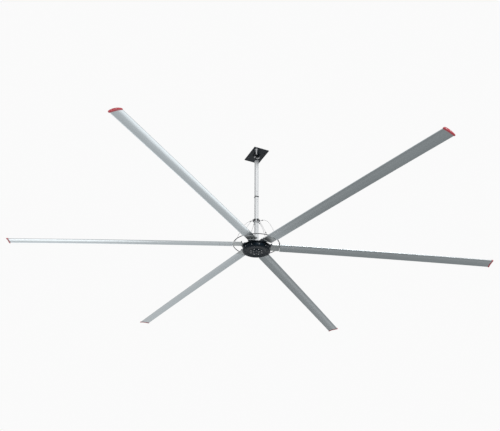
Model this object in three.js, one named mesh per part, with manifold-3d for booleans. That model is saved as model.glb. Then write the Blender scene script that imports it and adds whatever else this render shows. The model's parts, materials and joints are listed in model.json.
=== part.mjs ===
// A six-blade, slow-turning industrial ceiling fan. It hangs from a flat ceiling plate by a universal
// joint and a square drop tube, and a flat direct-drive motor in the hub turns six long aerofoil blades.
// Millimetres, +Z up. The origin is the middle of the ceiling plate's top face.

import * as THREE from 'three';
import { mergeVertices } from 'three/addons/utils/BufferGeometryUtils.js';
import Module from 'manifold-3d';

const wasm = await Module();
wasm.setup();

// ---------------------------------------------------------------- driving dimensions

const GAP = 0.3; // left between two pieces that touch
const ROUND_SIDES = 48; // sides of the hub's round pieces
const MOTOR_SIDES = 32; // sides of the stator's round pieces
const SMALL_SIDES = 16; // sides of small round pieces
const OVERRUN = 1; // cutting tools pass this far beyond what they cut
const SINK = 1; // pieces that are joined sink this far into each other

// Whole fan
const TIP_RADIUS = 3650; // axis to the outer face of an end cap
const DROP = 1660; // ceiling face down to the plane that the blades spring from
const BLADE_COUNT = 6;
const FIRST_HEADING = -20; // degrees from +X to the first blade

// Ceiling plate and the four anchors through it
const PLATE_X = 258;
const PLATE_Y = 400;
const PLATE_THICK = 10;
const PLATE_CORNER = 8;
const ANCHOR_FROM_EDGE = 28; // from the plate's long edge
const ANCHOR_FROM_CONDUIT = 52; // from the middle line of the conduit
const ANCHOR_DIAMETER = 12;
const ANCHOR_CLEARANCE = 1; // all round an anchor in its hole
const ANCHOR_SINK = 0.5; // the anchors end this far below the ceiling face

// Hexagon bolts and nuts, as shares of the thread's diameter
const WASHER_REACH = 1.25;
const HEXAGON_ACROSS = 1.55;
const BOLT_HEAD = 0.65;
const NUT_DEPTH = 0.8;
const WASHER_THICK = 2.5;
const THREAD_PROUD = 5.5; // a pivot bolt beyond its nut

// Universal joint: two pivots at right angles, one above the other
const PIVOT_DIAMETER = 16;
const PIVOT_CLEARANCE = 0.3;
const PIVOT_SPACING = 40;
const LINK_SIDE = 40;
const LINK_SIDE_CLEARANCE = 0.5;
const LINK_END_CLEARANCE = 6;
const EAR_THICK = 8;
const EAR_WALL = 11; // round the pivot bolt
const CLEVIS_BASE_REACH = 26; // beyond the ears, along the pivot
const CLEVIS_BASE_FLANK = 21; // beyond the ears, across the pivot
const CLEVIS_BASE_THICK = 8;

// Supply conduit along the plate's underside
const CONDUIT_RADIUS = 10;
const CONDUIT_BORE = 8.5;
const CONDUIT_ANGLE = 64; // degrees, from -X towards -Y
const CONDUIT_FROM_CLEVIS = 16; // along the conduit
const CONDUIT_FROM_EDGE = 22; // of the ceiling plate, along the conduit
const CONDUIT_SOCKET_WALL = 2.7;
const COUPLING_LENGTH = 30;
const GLAND_LENGTH = 14;
const GLAND_SHARE = 1 / 3; // of the gland's length past the conduit's end
const SADDLE_FROM_COUPLING = 13;
const SADDLE_WIDTH = 16;
const SADDLE_SPAN = 52;
const SADDLE_THICK = 3;

// Drop tube
const TUBE_SIDE = 52;
const TUBE_WALL = 3;
const TUBE_CORNER = 4;
const TUBE_CAP_MARGIN = 3.5; // beyond the ears
const TUBE_CAP_THICK = 8;
const TUBE_PLUG_LENGTH = 80;
const TUBE_JOINT_HEIGHT = 847; // above the blades' root plane
const SLEEVE_WALL = 3;
const SLEEVE_LENGTH = 260;
const BAND_HEIGHT = 16;
const BAND_WALL = 3;

// Rope collar that turns about the drop tube
const COLLAR_HEIGHT = 415; // above the blades' root plane, to its middle
const JOURNAL_CORNER_WALL = 2; // where the tube's corners come closest to its surface
const JOURNAL_LIP = 6;
const JOURNAL_LIP_THICK = 8;
const STOP_RING_THICK = 10;
const SWIVEL_CLEARANCE = 1.2;
const SWIVEL_WALL = 5;
const SWIVEL_DEPTH = 40;
const LUG_LENGTH = 13;
const LUG_WIDTH = 12;
const LUG_DEPTH = 32;

// Ropes from the collar to the safety ring, and the ring on the blade arms beside the blades' roots
const ROPE_DIAMETER = 5;
const ROPE_STEPS = 13;
const ROPE_SIDES = 6;
const ROPE_LEAD = -10; // degrees from a blade to its rope
const ROPE_SLACK = [0.95, 0.6, 0.45, 0.7, 0.3, 0.1]; // 0 is taut, 1 bows as the next four sizes say
const ROPE_BOW_OUT = 150; // outwards near the collar
const ROPE_BOW_UP = 60; // upwards near the collar
const ROPE_BOW_IN = 120; // inwards near the ring
const ROPE_BOW_RISE = 290; // upwards near the ring
const RING_ROD = 12;
const RING_FROM_BLADE = 5; // between the rod and the blades' roots
const RING_FROM_ARM = 0.3; // between the rod and the arms below it
const RING_STEPS = 48;
const RING_SIDES = 8;

// Blades: one hollow cambered section, pitched, and hanging a little lower towards the tip
const BLADE_FROM_HUB = 150;
const CHORD = 177;
const SPAR_SHARE = 0.28; // share of the chord that lies over the arm, from the leading edge
const AEROFOIL_THICK = 24;
const NOSE_HALF = 1;
const TAIL_HALF = 2.5;
const CAMBER = 14;
const PITCH = 8; // degrees; the leading edge is the higher one
const CONE_DROP = 84;
const BEND_DROP = 33;
const BLADE_WALL = 2.5;
const SURFACE_STEPS = 10;
const CELL_STEPS = 3;
const SPAR_CELL_WIDTH = 62;
const RIB_WALL = 3; // between two cells
const NOSE_CELL_START = 0.03; // share of the chord
const TAIL_CELL_START = 0.69;
const TAIL_CELL_END = 0.9;
const BLADE_SPANS = 4;

// End caps
const CAP_THICK = 20;
const CAP_PROUD = 4;
const CAP_ROUNDING = 4;
const CAP_PLUG_LENGTH = 30;
const CAP_PLUG_CLEARANCE = 0.5;

// Blade arms: a block on the hub plate, a broad flat length out to the blade, and a tongue inside it
const ARM_BLOCK_TOP = -5; // from the blades' root plane
const ARM_INNER_RADIUS = 95;
const ARM_BLOCK_WIDTH = 66;
const ARM_BLOCK_FROM_RIM = 2; // inwards from the hub plate's rim
const ARM_BROAD_FROM_RIM = 16; // outwards from the hub plate's rim
const ARM_BROAD_INSET = 9; // from the blade's two edges
const ARM_BROAD_THICK = 12;
const ARM_STEP = 4; // along the arm, from the broad length to the tongue
const TONGUE_LENGTH = 240; // inside the blade
const TONGUE_SIDE_CLEARANCE = 3;
const TONGUE_FACE_CLEARANCE = 1.5;
const TONGUE_LEAD = 4; // from where the tongue is fully formed to the blade's mouth
const ARM_CHAMFER = 0.08; // share of the section

// Hub, heights from the blades' root plane
const HUB_RADIUS = 212;
const HUB_PLATE_TOP = -33;
const HUB_PLATE_THICK = 12;
const HUB_MOUTH_RADIUS = 36;
const HUB_LIP_THICK = 6;
const BOSS_WALL = 12;
const SHELL_INSET = 17; // from the hub's rim
const SHELL_WALL = 25;
const COVER_FOOT = -118;
const COVER_RIM = -73;
const COVER_WALL = 6;
const COVER_FLOOR = 6;
const COVER_CHAMFER = 7;
const COVER_INNER_CHAMFER = 1;
const COVER_MOUTH_RADIUS = 30;
const DUST_CAP_RADIUS = 60;
const DUST_CAP_THICK = 5;
const DUST_CAP_CHAMFER = 2;

// Motor
const MAGNET_THICK = 14;
const MAGNET_MARGIN = 9; // from the shell's two ends
const AIR_GAP = 1.5;
const CORE_MIDDLE = -81;
const CORE_HEIGHT = 36;
const SLOT_COUNT = 12;
const SLOT_WIDTH = 16;
const SLOT_FLOOR_RADIUS = 88;
const COIL_CLEARANCE = 0.5;
const COIL_FROM_RIM = 12; // of the stator core
const COIL_END_HEIGHT = 8;

// Spindle and its bearings
const HEAD_MARGIN = 6; // beyond the tube flange's sides
const HEAD_TOP = -3;
const HEAD_THICK = 16;
const NECK_RADIUS = 32;
const WEB_RADIUS = 60;
const WEB_THICK = 12;
const WEB_FIT = 0.6; // between the web's rim and the stator core's bore
const WIRE_BORE_RADIUS = 9;
const WIRE_BORE_DEPTH = 70;
const UPPER_BEARING_INNER = 25;
const UPPER_BEARING_OUTER = 45;
const UPPER_BEARING_HEIGHT = 20;
const LOWER_BEARING_INNER = 20;
const LOWER_BEARING_OUTER = 36;
const LOWER_BEARING_HEIGHT = 16;
const BEARING_RACE = 5;
const BEARING_RECESS = 1.5;
const SPINDLE_NUT_ACROSS = 40;
const SPINDLE_NUT_THICK = 5;
const FLANGE_RIM = 22.7; // round the flange's collar
const FLANGE_THICK = 10;
const FLANGE_COLLAR_WALL = 7;
const FLANGE_COLLAR_HEIGHT = 45;

// ---------------------------------------------------------------- materials

function finish(color, roughness, metalness) {
  return new THREE.MeshStandardMaterial({ color, roughness, metalness });
}

const blackSteel = finish(0x1c1f23, 0.42, 0.5);
const galvanisedSteel = finish(0xd3d6d8, 0.45, 0.8);
const zincSteel = finish(0xc4c7ca, 0.35, 0.9);
const darkSteel = finish(0x3b3e42, 0.5, 0.7);
const bladeAluminium = finish(0x98a1a6, 0.38, 0.8);
const greySteel = finish(0x84898b, 0.45, 0.6);
const redPlastic = finish(0xb23a42, 0.45, 0);
const ropeSteel = finish(0xb9bdc0, 0.4, 0.8);
const copperWire = finish(0xa85f32, 0.4, 0.8);
const laminatedSteel = finish(0x6b6f73, 0.55, 0.7);
const magnetBlack = finish(0x303236, 0.6, 0.3);
const bearingSteel = finish(0xd0d3d6, 0.25, 0.95);

// ---------------------------------------------------------------- solids

// The geometry with positions only, shared corners merged, no flat triangles and its faces pointing out.
function closed(geometry) {
  const bare = new THREE.BufferGeometry();
  bare.setAttribute('position', geometry.getAttribute('position'));
  bare.setIndex(geometry.getIndex());
  const merged = mergeVertices(bare, 1e-3);
  const corners = merged.getIndex().array;
  const a = new THREE.Vector3();
  const b = new THREE.Vector3();
  const c = new THREE.Vector3();
  const faces = [];
  let volume = 0;
  for (let i = 0; i < corners.length; i += 3) {
    const [p, q, r] = corners.slice(i, i + 3);
    if (p === q || q === r || r === p) continue;
    faces.push(p, q, r);
    a.fromBufferAttribute(merged.attributes.position, p);
    b.fromBufferAttribute(merged.attributes.position, q);
    c.fromBufferAttribute(merged.attributes.position, r);
    volume += a.dot(b.cross(c));
  }
  if (volume < 0) faces.reverse();
  merged.setIndex(new THREE.BufferAttribute(new Uint32Array(faces), 1));
  return merged;
}

function solidOf(geometry) {
  const mesh = new wasm.Mesh({
    numProp: 3,
    vertProperties: geometry.getAttribute('position').array,
    triVerts: geometry.getIndex().array,
  });
  return new wasm.Manifold(mesh);
}

function geometryOf(solid) {
  const { vertProperties, triVerts } = solid.getMesh();
  const geometry = new THREE.BufferGeometry();
  geometry.setAttribute('position', new THREE.BufferAttribute(vertProperties, 3));
  geometry.setIndex(new THREE.BufferAttribute(triVerts, 1));
  return geometry;
}

function joined(first, ...others) {
  return geometryOf(others.reduce((whole, other) => whole.add(solidOf(other)), solidOf(first)));
}

function cut(body, ...tools) {
  return geometryOf(tools.reduce((rest, tool) => rest.subtract(solidOf(tool)), solidOf(body)));
}

function common(first, second) {
  return geometryOf(solidOf(first).intersect(solidOf(second)));
}

// A box centred on the Z axis between two heights.
function box(sizeX, sizeY, low, high) {
  return closed(new THREE.BoxGeometry(sizeX, sizeY, high - low).translate(0, 0, (low + high) / 2));
}

// A solid of revolution about Z. The profile is a closed loop of [radius, height] points.
function turned(profile, sides) {
  const loop = [...profile, profile[0]].map(([radius, height]) => new THREE.Vector2(radius, height));
  return closed(new THREE.LatheGeometry(loop, sides).rotateX(Math.PI / 2));
}

function rod(radius, low, high, sides = SMALL_SIDES) {
  return turned([[0, low], [radius, low], [radius, high], [0, high]], sides);
}

function ring(outer, inner, low, high, sides = ROUND_SIDES) {
  return turned([[inner, low], [outer, low], [outer, high], [inner, high]], sides);
}

// A hexagonal bar with the given distance across its flats.
function hexagon(across, low, high) {
  return rod(across / 2 / Math.cos(Math.PI / 6), low, high, 6);
}

function prism(shape, low, high) {
  const settings = { depth: high - low, bevelEnabled: false, curveSegments: 2 };
  return closed(new THREE.ExtrudeGeometry(shape, settings).translate(0, 0, low));
}

function roundedRectangle(width, height, radius) {
  const shape = new THREE.Shape();
  const x = width / 2 - radius;
  const y = height / 2 - radius;
  shape.absarc(x, y, radius, 0, Math.PI / 2);
  shape.absarc(-x, y, radius, Math.PI / 2, Math.PI);
  shape.absarc(-x, -y, radius, Math.PI, 1.5 * Math.PI);
  shape.absarc(x, -y, radius, 1.5 * Math.PI, 2 * Math.PI);
  return shape;
}

function squareTube(side, wall, low, high) {
  const inner = side - 2 * wall;
  const outerShape = roundedRectangle(side, side, TUBE_CORNER);
  outerShape.holes.push(roundedRectangle(inner, inner, TUBE_CORNER - wall));
  return prism(outerShape, low, high);
}

// A section carried through several places and closed at both ends. Each place puts a section point in
// space. The outline runs anticlockwise and the holes clockwise.
function loft(outline, holes, places) {
  const loops = [outline, ...holes];
  const section = loops.flat();
  const positions = places.flatMap((place) => section.flatMap((point) => place(point).toArray()));
  const last = section.length * (places.length - 1);
  const faces = [];
  for (const [a, b, c] of THREE.ShapeUtils.triangulateShape(outline, holes)) {
    faces.push(c, b, a, a + last, b + last, c + last);
  }
  let start = 0;
  for (const loop of loops) {
    for (let i = 0; i < loop.length; i++) {
      const here = start + i;
      const next = start + (i + 1) % loop.length;
      for (let low = 0; low < last; low += section.length) {
        const high = low + section.length;
        faces.push(here + low, next + low, next + high);
        faces.push(here + low, next + high, here + high);
      }
    }
    start += loop.length;
  }
  const geometry = new THREE.BufferGeometry();
  geometry.setAttribute('position', new THREE.Float32BufferAttribute(positions, 3));
  geometry.setIndex(faces);
  return closed(geometry);
}

// A hexagon bolt on the Z axis: its washer bears at height 0 and its shank goes up.
function bolt(diameter, length) {
  return joined(
    rod(diameter / 2, -WASHER_THICK / 2, length, SMALL_SIDES / 2),
    rod(WASHER_REACH * diameter, -WASHER_THICK, 0),
    hexagon(HEXAGON_ACROSS * diameter, -WASHER_THICK - BOLT_HEAD * diameter, -WASHER_THICK / 2),
  );
}

// A hexagon nut with its washer, bearing at height 0 on what is below it.
function nut(diameter) {
  const top = WASHER_THICK + NUT_DEPTH * diameter;
  const body = joined(
    rod(WASHER_REACH * diameter, 0, WASHER_THICK),
    hexagon(HEXAGON_ACROSS * diameter, WASHER_THICK / 2, top),
  );
  return cut(body, rod(diameter / 2 + GAP, -OVERRUN, top + OVERRUN, SMALL_SIDES / 2));
}

function addPiece(group, name, geometry, material) {
  const faceted = geometry.toNonIndexed();
  faceted.computeVertexNormals();
  const mesh = new THREE.Mesh(faceted, material);
  mesh.name = name;
  group.add(mesh);
}

// ---------------------------------------------------------------- universal joint, what follows

const clevisBaseTop = -PLATE_THICK - GAP;
const clevisBaseFoot = clevisBaseTop - CLEVIS_BASE_THICK;
const upperPivotHeight = clevisBaseFoot - LINK_END_CLEARANCE - LINK_SIDE / 2;
const lowerPivotHeight = upperPivotHeight - PIVOT_SPACING;
const tubeCapTop = lowerPivotHeight - LINK_SIDE / 2 - LINK_END_CLEARANCE;
const tubeCapFoot = tubeCapTop - TUBE_CAP_THICK;
const earInnerFace = LINK_SIDE / 2 + LINK_SIDE_CLEARANCE;
const earOuterFace = earInnerFace + EAR_THICK;
const earRadius = PIVOT_DIAMETER / 2 + EAR_WALL;
const clevisBaseX = 2 * (earOuterFace + CLEVIS_BASE_REACH);
const clevisBaseY = 2 * (earRadius + CLEVIS_BASE_FLANK);

// ---------------------------------------------------------------- ceiling mount

// An ear with a round end about a pivot on the X axis. Its root sinks into the face at the given height.
function ear(pivotHeight, faceHeight) {
  const root = faceHeight + SINK * Math.sign(faceHeight - pivotHeight);
  const shank = box(EAR_THICK, 2 * earRadius, Math.min(pivotHeight, root), Math.max(pivotHeight, root));
  const end = rod(earRadius, -EAR_THICK / 2, EAR_THICK / 2).rotateY(Math.PI / 2);
  const hole = rod(PIVOT_DIAMETER / 2 + PIVOT_CLEARANCE, -EAR_THICK, EAR_THICK).rotateY(Math.PI / 2);
  return cut(joined(shank, end.translate(0, 0, pivotHeight)), hole.translate(0, 0, pivotHeight));
}

function clevisEars(pivotHeight, faceHeight) {
  const middle = (earInnerFace + earOuterFace) / 2;
  return [-middle, middle].map((x) => ear(pivotHeight, faceHeight).translate(x, 0, 0));
}

// Distances along the conduit from the middle to the edge of something of the given size.
const conduitAngle = THREE.MathUtils.degToRad(CONDUIT_ANGLE);
function alongConduit(sizeX, sizeY) {
  return Math.min(sizeX / 2 / Math.cos(conduitAngle), sizeY / 2 / Math.sin(conduitAngle));
}

// The anchors stand beside the conduit.
const anchorX = PLATE_X / 2 - ANCHOR_FROM_EDGE;
const anchorY = anchorX * Math.tan(conduitAngle) - ANCHOR_FROM_CONDUIT / Math.cos(conduitAngle);
const anchorPlaces = [[anchorX, anchorY], [-anchorX, anchorY], [-anchorX, -anchorY], [anchorX, -anchorY]];

function buildCeilingPlate() {
  const blank = prism(roundedRectangle(PLATE_X, PLATE_Y, PLATE_CORNER), -PLATE_THICK, 0);
  const hole = rod(ANCHOR_DIAMETER / 2 + ANCHOR_CLEARANCE, -PLATE_THICK - OVERRUN, OVERRUN);
  return cut(blank, ...anchorPlaces.map(([x, y]) => hole.clone().translate(x, y, 0)));
}

function buildPivotBolt() {
  const nutEnd = earOuterFace + GAP + WASHER_THICK + NUT_DEPTH * PIVOT_DIAMETER;
  return bolt(PIVOT_DIAMETER, earOuterFace + GAP + nutEnd + THREAD_PROUD);
}

function buildCeilingMount() {
  const mount = new THREE.Group();
  addPiece(mount, 'ceiling_plate', buildCeilingPlate(), blackSteel);

  const anchorHead = -PLATE_THICK - GAP;
  anchorPlaces.forEach(([x, y], i) => {
    const anchor = bolt(ANCHOR_DIAMETER, -ANCHOR_SINK - anchorHead).translate(x, y, anchorHead);
    addPiece(mount, `anchor_bolt_${i + 1}`, anchor, zincSteel);
  });

  const base = box(clevisBaseX, clevisBaseY, clevisBaseFoot, clevisBaseTop);
  const clevis = joined(base, ...clevisEars(upperPivotHeight, clevisBaseFoot));
  addPiece(mount, 'upper_clevis', clevis, blackSteel);

  const pivot = buildPivotBolt().rotateY(Math.PI / 2);
  addPiece(mount, 'upper_pivot_bolt', pivot.translate(-earOuterFace - GAP, 0, upperPivotHeight), zincSteel);
  const pivotNut = nut(PIVOT_DIAMETER).rotateY(Math.PI / 2);
  addPiece(mount, 'upper_pivot_nut', pivotNut.translate(earOuterFace + GAP, 0, upperPivotHeight), zincSteel);

  mount.add(buildConduit());
  return mount;
}

// The supply conduit runs from beside the clevis to the plate's edge. Here it lies along +X.
function buildConduit() {
  const run = new THREE.Group();
  const socketInner = CONDUIT_RADIUS + GAP;
  const socketOuter = socketInner + CONDUIT_SOCKET_WALL;
  run.position.z = -PLATE_THICK - GAP - SADDLE_THICK - socketOuter + SINK;
  run.rotation.z = conduitAngle - Math.PI;

  const conduitStart = alongConduit(clevisBaseX, clevisBaseY) + CONDUIT_FROM_CLEVIS;
  const conduitEnd = alongConduit(PLATE_X, PLATE_Y) - CONDUIT_FROM_EDGE;
  const conduit = ring(CONDUIT_RADIUS, CONDUIT_BORE, conduitStart, conduitEnd, SMALL_SIDES);
  addPiece(run, 'supply_conduit', conduit.rotateY(Math.PI / 2), galvanisedSteel);

  const couplingStart = conduitEnd - COUPLING_LENGTH / 2;
  const couplingEnd = conduitEnd + COUPLING_LENGTH / 2;
  const coupling = ring(socketOuter, socketInner, couplingStart, couplingEnd, SMALL_SIDES);
  addPiece(run, 'conduit_coupling', coupling.rotateY(Math.PI / 2), galvanisedSteel);

  const glandStart = conduitStart - GLAND_LENGTH * GLAND_SHARE;
  const glandEnd = glandStart + GLAND_LENGTH;
  const glandBore = rod(socketInner, glandStart - OVERRUN, glandEnd + OVERRUN);
  const gland = cut(hexagon(2 * socketOuter, glandStart, glandEnd), glandBore);
  addPiece(run, 'conduit_gland', gland.rotateY(Math.PI / 2), zincSteel);

  const strap = ring(socketOuter, socketInner, -SADDLE_WIDTH / 2, SADDLE_WIDTH / 2, SMALL_SIDES);
  const foot = box(SADDLE_WIDTH, SADDLE_SPAN, socketOuter - SINK, socketOuter - SINK + SADDLE_THICK);
  const saddle = joined(strap.rotateY(Math.PI / 2), foot);
  const saddlePlace = couplingStart - SADDLE_FROM_COUPLING - SADDLE_WIDTH / 2;
  addPiece(run, 'conduit_saddle', saddle.translate(saddlePlace, 0, 0), zincSteel);
  return run;
}

// ---------------------------------------------------------------- link block

// A bar whose top is rounded about the X axis, and whose foot is rounded about the Y axis.
function buildLink() {
  const half = LINK_SIDE / 2;
  const side = box(LINK_SIDE, LINK_SIDE, lowerPivotHeight - half, upperPivotHeight);
  const topRound = rod(half, -half, half).rotateY(Math.PI / 2).translate(0, 0, upperPivotHeight);
  const rounded = joined(side, topRound);
  const column = box(LINK_SIDE, LINK_SIDE, lowerPivotHeight, upperPivotHeight + half);
  const footRound = rod(half, -half, half).rotateX(Math.PI / 2).translate(0, 0, lowerPivotHeight);
  const blank = common(rounded, joined(column, footRound));
  const drill = rod(PIVOT_DIAMETER / 2 + PIVOT_CLEARANCE, -LINK_SIDE, LINK_SIDE);
  const upperHole = drill.clone().rotateY(Math.PI / 2).translate(0, 0, upperPivotHeight);
  const lowerHole = drill.clone().rotateX(Math.PI / 2).translate(0, 0, lowerPivotHeight);
  return cut(blank, upperHole, lowerHole);
}

function buildLinkGroup() {
  const group = new THREE.Group();
  addPiece(group, 'link_block', buildLink(), darkSteel);
  return group;
}

// ---------------------------------------------------------------- drop tube and what it carries

const tubeTop = tubeCapFoot - GAP;
const tubeJoint = -DROP + TUBE_JOINT_HEIGHT;
const inTubeSide = TUBE_SIDE - 2 * (TUBE_WALL + GAP); // of what slides into the tube
const tubeCapSide = Math.max(TUBE_SIDE, 2 * earOuterFace) + 2 * TUBE_CAP_MARGIN;
const onTubeBore = TUBE_SIDE + 2 * GAP; // of what slides over the tube
const flangeFoot = HEAD_TOP + GAP;
const flangeTop = flangeFoot + FLANGE_THICK;
const tubeFoot = -DROP + flangeTop + GAP;

function buildTubeClevis() {
  const plugShape = roundedRectangle(inTubeSide, inTubeSide, TUBE_CORNER);
  const plug = prism(plugShape, tubeTop - TUBE_PLUG_LENGTH, tubeCapTop);
  const cap = box(tubeCapSide, tubeCapSide, tubeCapFoot, tubeCapTop);
  const ears = clevisEars(lowerPivotHeight, tubeCapTop).map((one) => one.rotateZ(Math.PI / 2));
  return joined(cap, plug, ...ears);
}

function buildTubes(group) {
  const upperTube = squareTube(TUBE_SIDE, TUBE_WALL, tubeJoint + GAP / 2, tubeTop);
  addPiece(group, 'upper_tube', upperTube, galvanisedSteel);
  const lowerTube = squareTube(TUBE_SIDE, TUBE_WALL, tubeFoot, tubeJoint - GAP / 2);
  addPiece(group, 'lower_tube', lowerTube, galvanisedSteel);

  const sleeveFoot = tubeJoint - SLEEVE_LENGTH / 2;
  const sleeve = squareTube(inTubeSide, SLEEVE_WALL, sleeveFoot, sleeveFoot + SLEEVE_LENGTH);
  addPiece(group, 'joint_sleeve', sleeve, galvanisedSteel);

  const bandSide = onTubeBore + 2 * BAND_WALL;
  const band = squareTube(bandSide, BAND_WALL, tubeJoint - BAND_HEIGHT / 2, tubeJoint + BAND_HEIGHT / 2);
  addPiece(group, 'joint_band', band, blackSteel);
}

// Heights in the rest of this section are from the blades' root plane.

const swivelFoot = COLLAR_HEIGHT - SWIVEL_DEPTH / 2;
const swivelTop = COLLAR_HEIGHT + SWIVEL_DEPTH / 2;
const boreCorner = onTubeBore / Math.SQRT2 - TUBE_CORNER * (Math.SQRT2 - 1);
const journalRadius = (boreCorner + JOURNAL_CORNER_WALL) / Math.cos(Math.PI / SMALL_SIDES);
const lipRadius = journalRadius + JOURNAL_LIP;
const swivelInner = journalRadius + SWIVEL_CLEARANCE;
const swivelOuter = swivelInner + SWIVEL_WALL;
const lugEnd = swivelOuter + LUG_LENGTH;

function buildJournal(group) {
  const lipTop = swivelFoot - GAP;
  const lipFoot = lipTop - JOURNAL_LIP_THICK;
  const stopFoot = swivelTop + GAP;
  const stopTop = stopFoot + STOP_RING_THICK;
  const blank = turned([
    [0, lipFoot],
    [lipRadius, lipFoot],
    [lipRadius, lipTop],
    [journalRadius, lipTop],
    [journalRadius, stopTop],
    [0, stopTop],
  ], SMALL_SIDES);
  const boreShape = roundedRectangle(onTubeBore, onTubeBore, TUBE_CORNER);
  const bore = prism(boreShape, lipFoot - OVERRUN, stopTop + OVERRUN);
  addPiece(group, 'tether_journal', cut(blank, bore), darkSteel);
  const stopRing = ring(lipRadius, journalRadius + GAP, stopFoot, stopTop, SMALL_SIDES);
  addPiece(group, 'journal_stop', stopRing, darkSteel);
}

const flangeCollarSide = onTubeBore + 2 * FLANGE_COLLAR_WALL;
const flangeSide = flangeCollarSide + 2 * FLANGE_RIM;
const headRadius = flangeSide / 2 + HEAD_MARGIN;

function buildTubeFlange() {
  const collarTop = flangeTop + FLANGE_COLLAR_HEIGHT;
  const collarShape = roundedRectangle(flangeCollarSide, flangeCollarSide, TUBE_CORNER);
  const socketShape = roundedRectangle(onTubeBore, onTubeBore, TUBE_CORNER);
  const plate = box(flangeSide, flangeSide, flangeFoot, flangeTop);
  const collar = prism(collarShape, flangeFoot, collarTop);
  const socket = prism(socketShape, flangeTop, collarTop + OVERRUN);
  const wireHole = rod(WIRE_BORE_RADIUS, flangeFoot - OVERRUN, flangeTop + OVERRUN);
  return cut(joined(plate, collar), socket, wireHole);
}

const upperBearingTop = HUB_PLATE_TOP - HUB_LIP_THICK - GAP;
const upperBearingFoot = upperBearingTop - UPPER_BEARING_HEIGHT;
const coverFloorTop = COVER_FOOT + COVER_FLOOR;
const lowerBearingFoot = coverFloorTop + GAP;
const lowerBearingTop = lowerBearingFoot + LOWER_BEARING_HEIGHT;
const webTop = CORE_MIDDLE + WEB_THICK / 2;
const webFoot = CORE_MIDDLE - WEB_THICK / 2;
const spindleNutTop = lowerBearingFoot - GAP;
const spindleNutFoot = spindleNutTop - SPINDLE_NUT_THICK;

function buildSpindle() {
  const upperSeat = UPPER_BEARING_INNER - GAP;
  const lowerSeat = LOWER_BEARING_INNER - GAP;
  const body = turned([
    [0, spindleNutFoot],
    [lowerSeat, spindleNutFoot],
    [lowerSeat, webFoot],
    [WEB_RADIUS, webFoot],
    [WEB_RADIUS, webTop],
    [upperSeat, webTop],
    [upperSeat, upperBearingTop + GAP],
    [NECK_RADIUS, upperBearingTop + GAP],
    [NECK_RADIUS, HEAD_TOP - HEAD_THICK],
    [headRadius, HEAD_TOP - HEAD_THICK],
    [headRadius, HEAD_TOP],
    [0, HEAD_TOP],
  ], SMALL_SIDES);
  return cut(body, rod(WIRE_BORE_RADIUS, HEAD_TOP - WIRE_BORE_DEPTH, HEAD_TOP + OVERRUN));
}

// Two races with a shallow groove between them on both faces.
function bearing(inner, outer, low, high) {
  return turned([
    [inner, low],
    [inner + BEARING_RACE, low],
    [inner + BEARING_RACE, low + BEARING_RECESS],
    [outer - BEARING_RACE, low + BEARING_RECESS],
    [outer - BEARING_RACE, low],
    [outer, low],
    [outer, high],
    [outer - BEARING_RACE, high],
    [outer - BEARING_RACE, high - BEARING_RECESS],
    [inner + BEARING_RACE, high - BEARING_RECESS],
    [inner + BEARING_RACE, high],
    [inner, high],
  ], SMALL_SIDES);
}

const shellRadius = HUB_RADIUS - SHELL_INSET;
const shellInner = shellRadius - SHELL_WALL;
const magnetOuter = shellInner - GAP;
const magnetInner = magnetOuter - MAGNET_THICK;
const coreRadius = magnetInner - AIR_GAP;
const coreTop = CORE_MIDDLE + CORE_HEIGHT / 2;
const coreFoot = CORE_MIDDLE - CORE_HEIGHT / 2;
const coilOuter = coreRadius - COIL_FROM_RIM;

// Radial bars, one in each slot of the stator, for cutting the slots and for filling them.
function slotBars(innerRadius, outerRadius, width, low, high) {
  const middle = (innerRadius + outerRadius) / 2;
  return Array.from({ length: SLOT_COUNT }, (_, i) => box(outerRadius - innerRadius, width, low, high)
    .translate(middle, 0, 0)
    .rotateZ(2 * Math.PI * i / SLOT_COUNT));
}

function buildStatorCore() {
  const slotEnd = coreRadius + OVERRUN;
  const slots = slotBars(SLOT_FLOOR_RADIUS, slotEnd, SLOT_WIDTH, coreFoot - OVERRUN, coreTop + OVERRUN);
  return cut(ring(coreRadius, WEB_RADIUS + WEB_FIT, coreFoot, coreTop, MOTOR_SIDES), ...slots);
}

function buildWinding() {
  const inner = SLOT_FLOOR_RADIUS + COIL_CLEARANCE;
  const foot = coreFoot - COIL_CLEARANCE;
  const top = coreTop + COIL_CLEARANCE;
  const width = SLOT_WIDTH - 2 * COIL_CLEARANCE;
  return joined(
    ring(coilOuter, inner, foot - COIL_END_HEIGHT, foot, MOTOR_SIDES),
    ring(coilOuter, inner, top, top + COIL_END_HEIGHT, MOTOR_SIDES),
    ...slotBars(inner + SINK, coilOuter - SINK, width, foot - SINK, top + SINK),
  );
}

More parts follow.
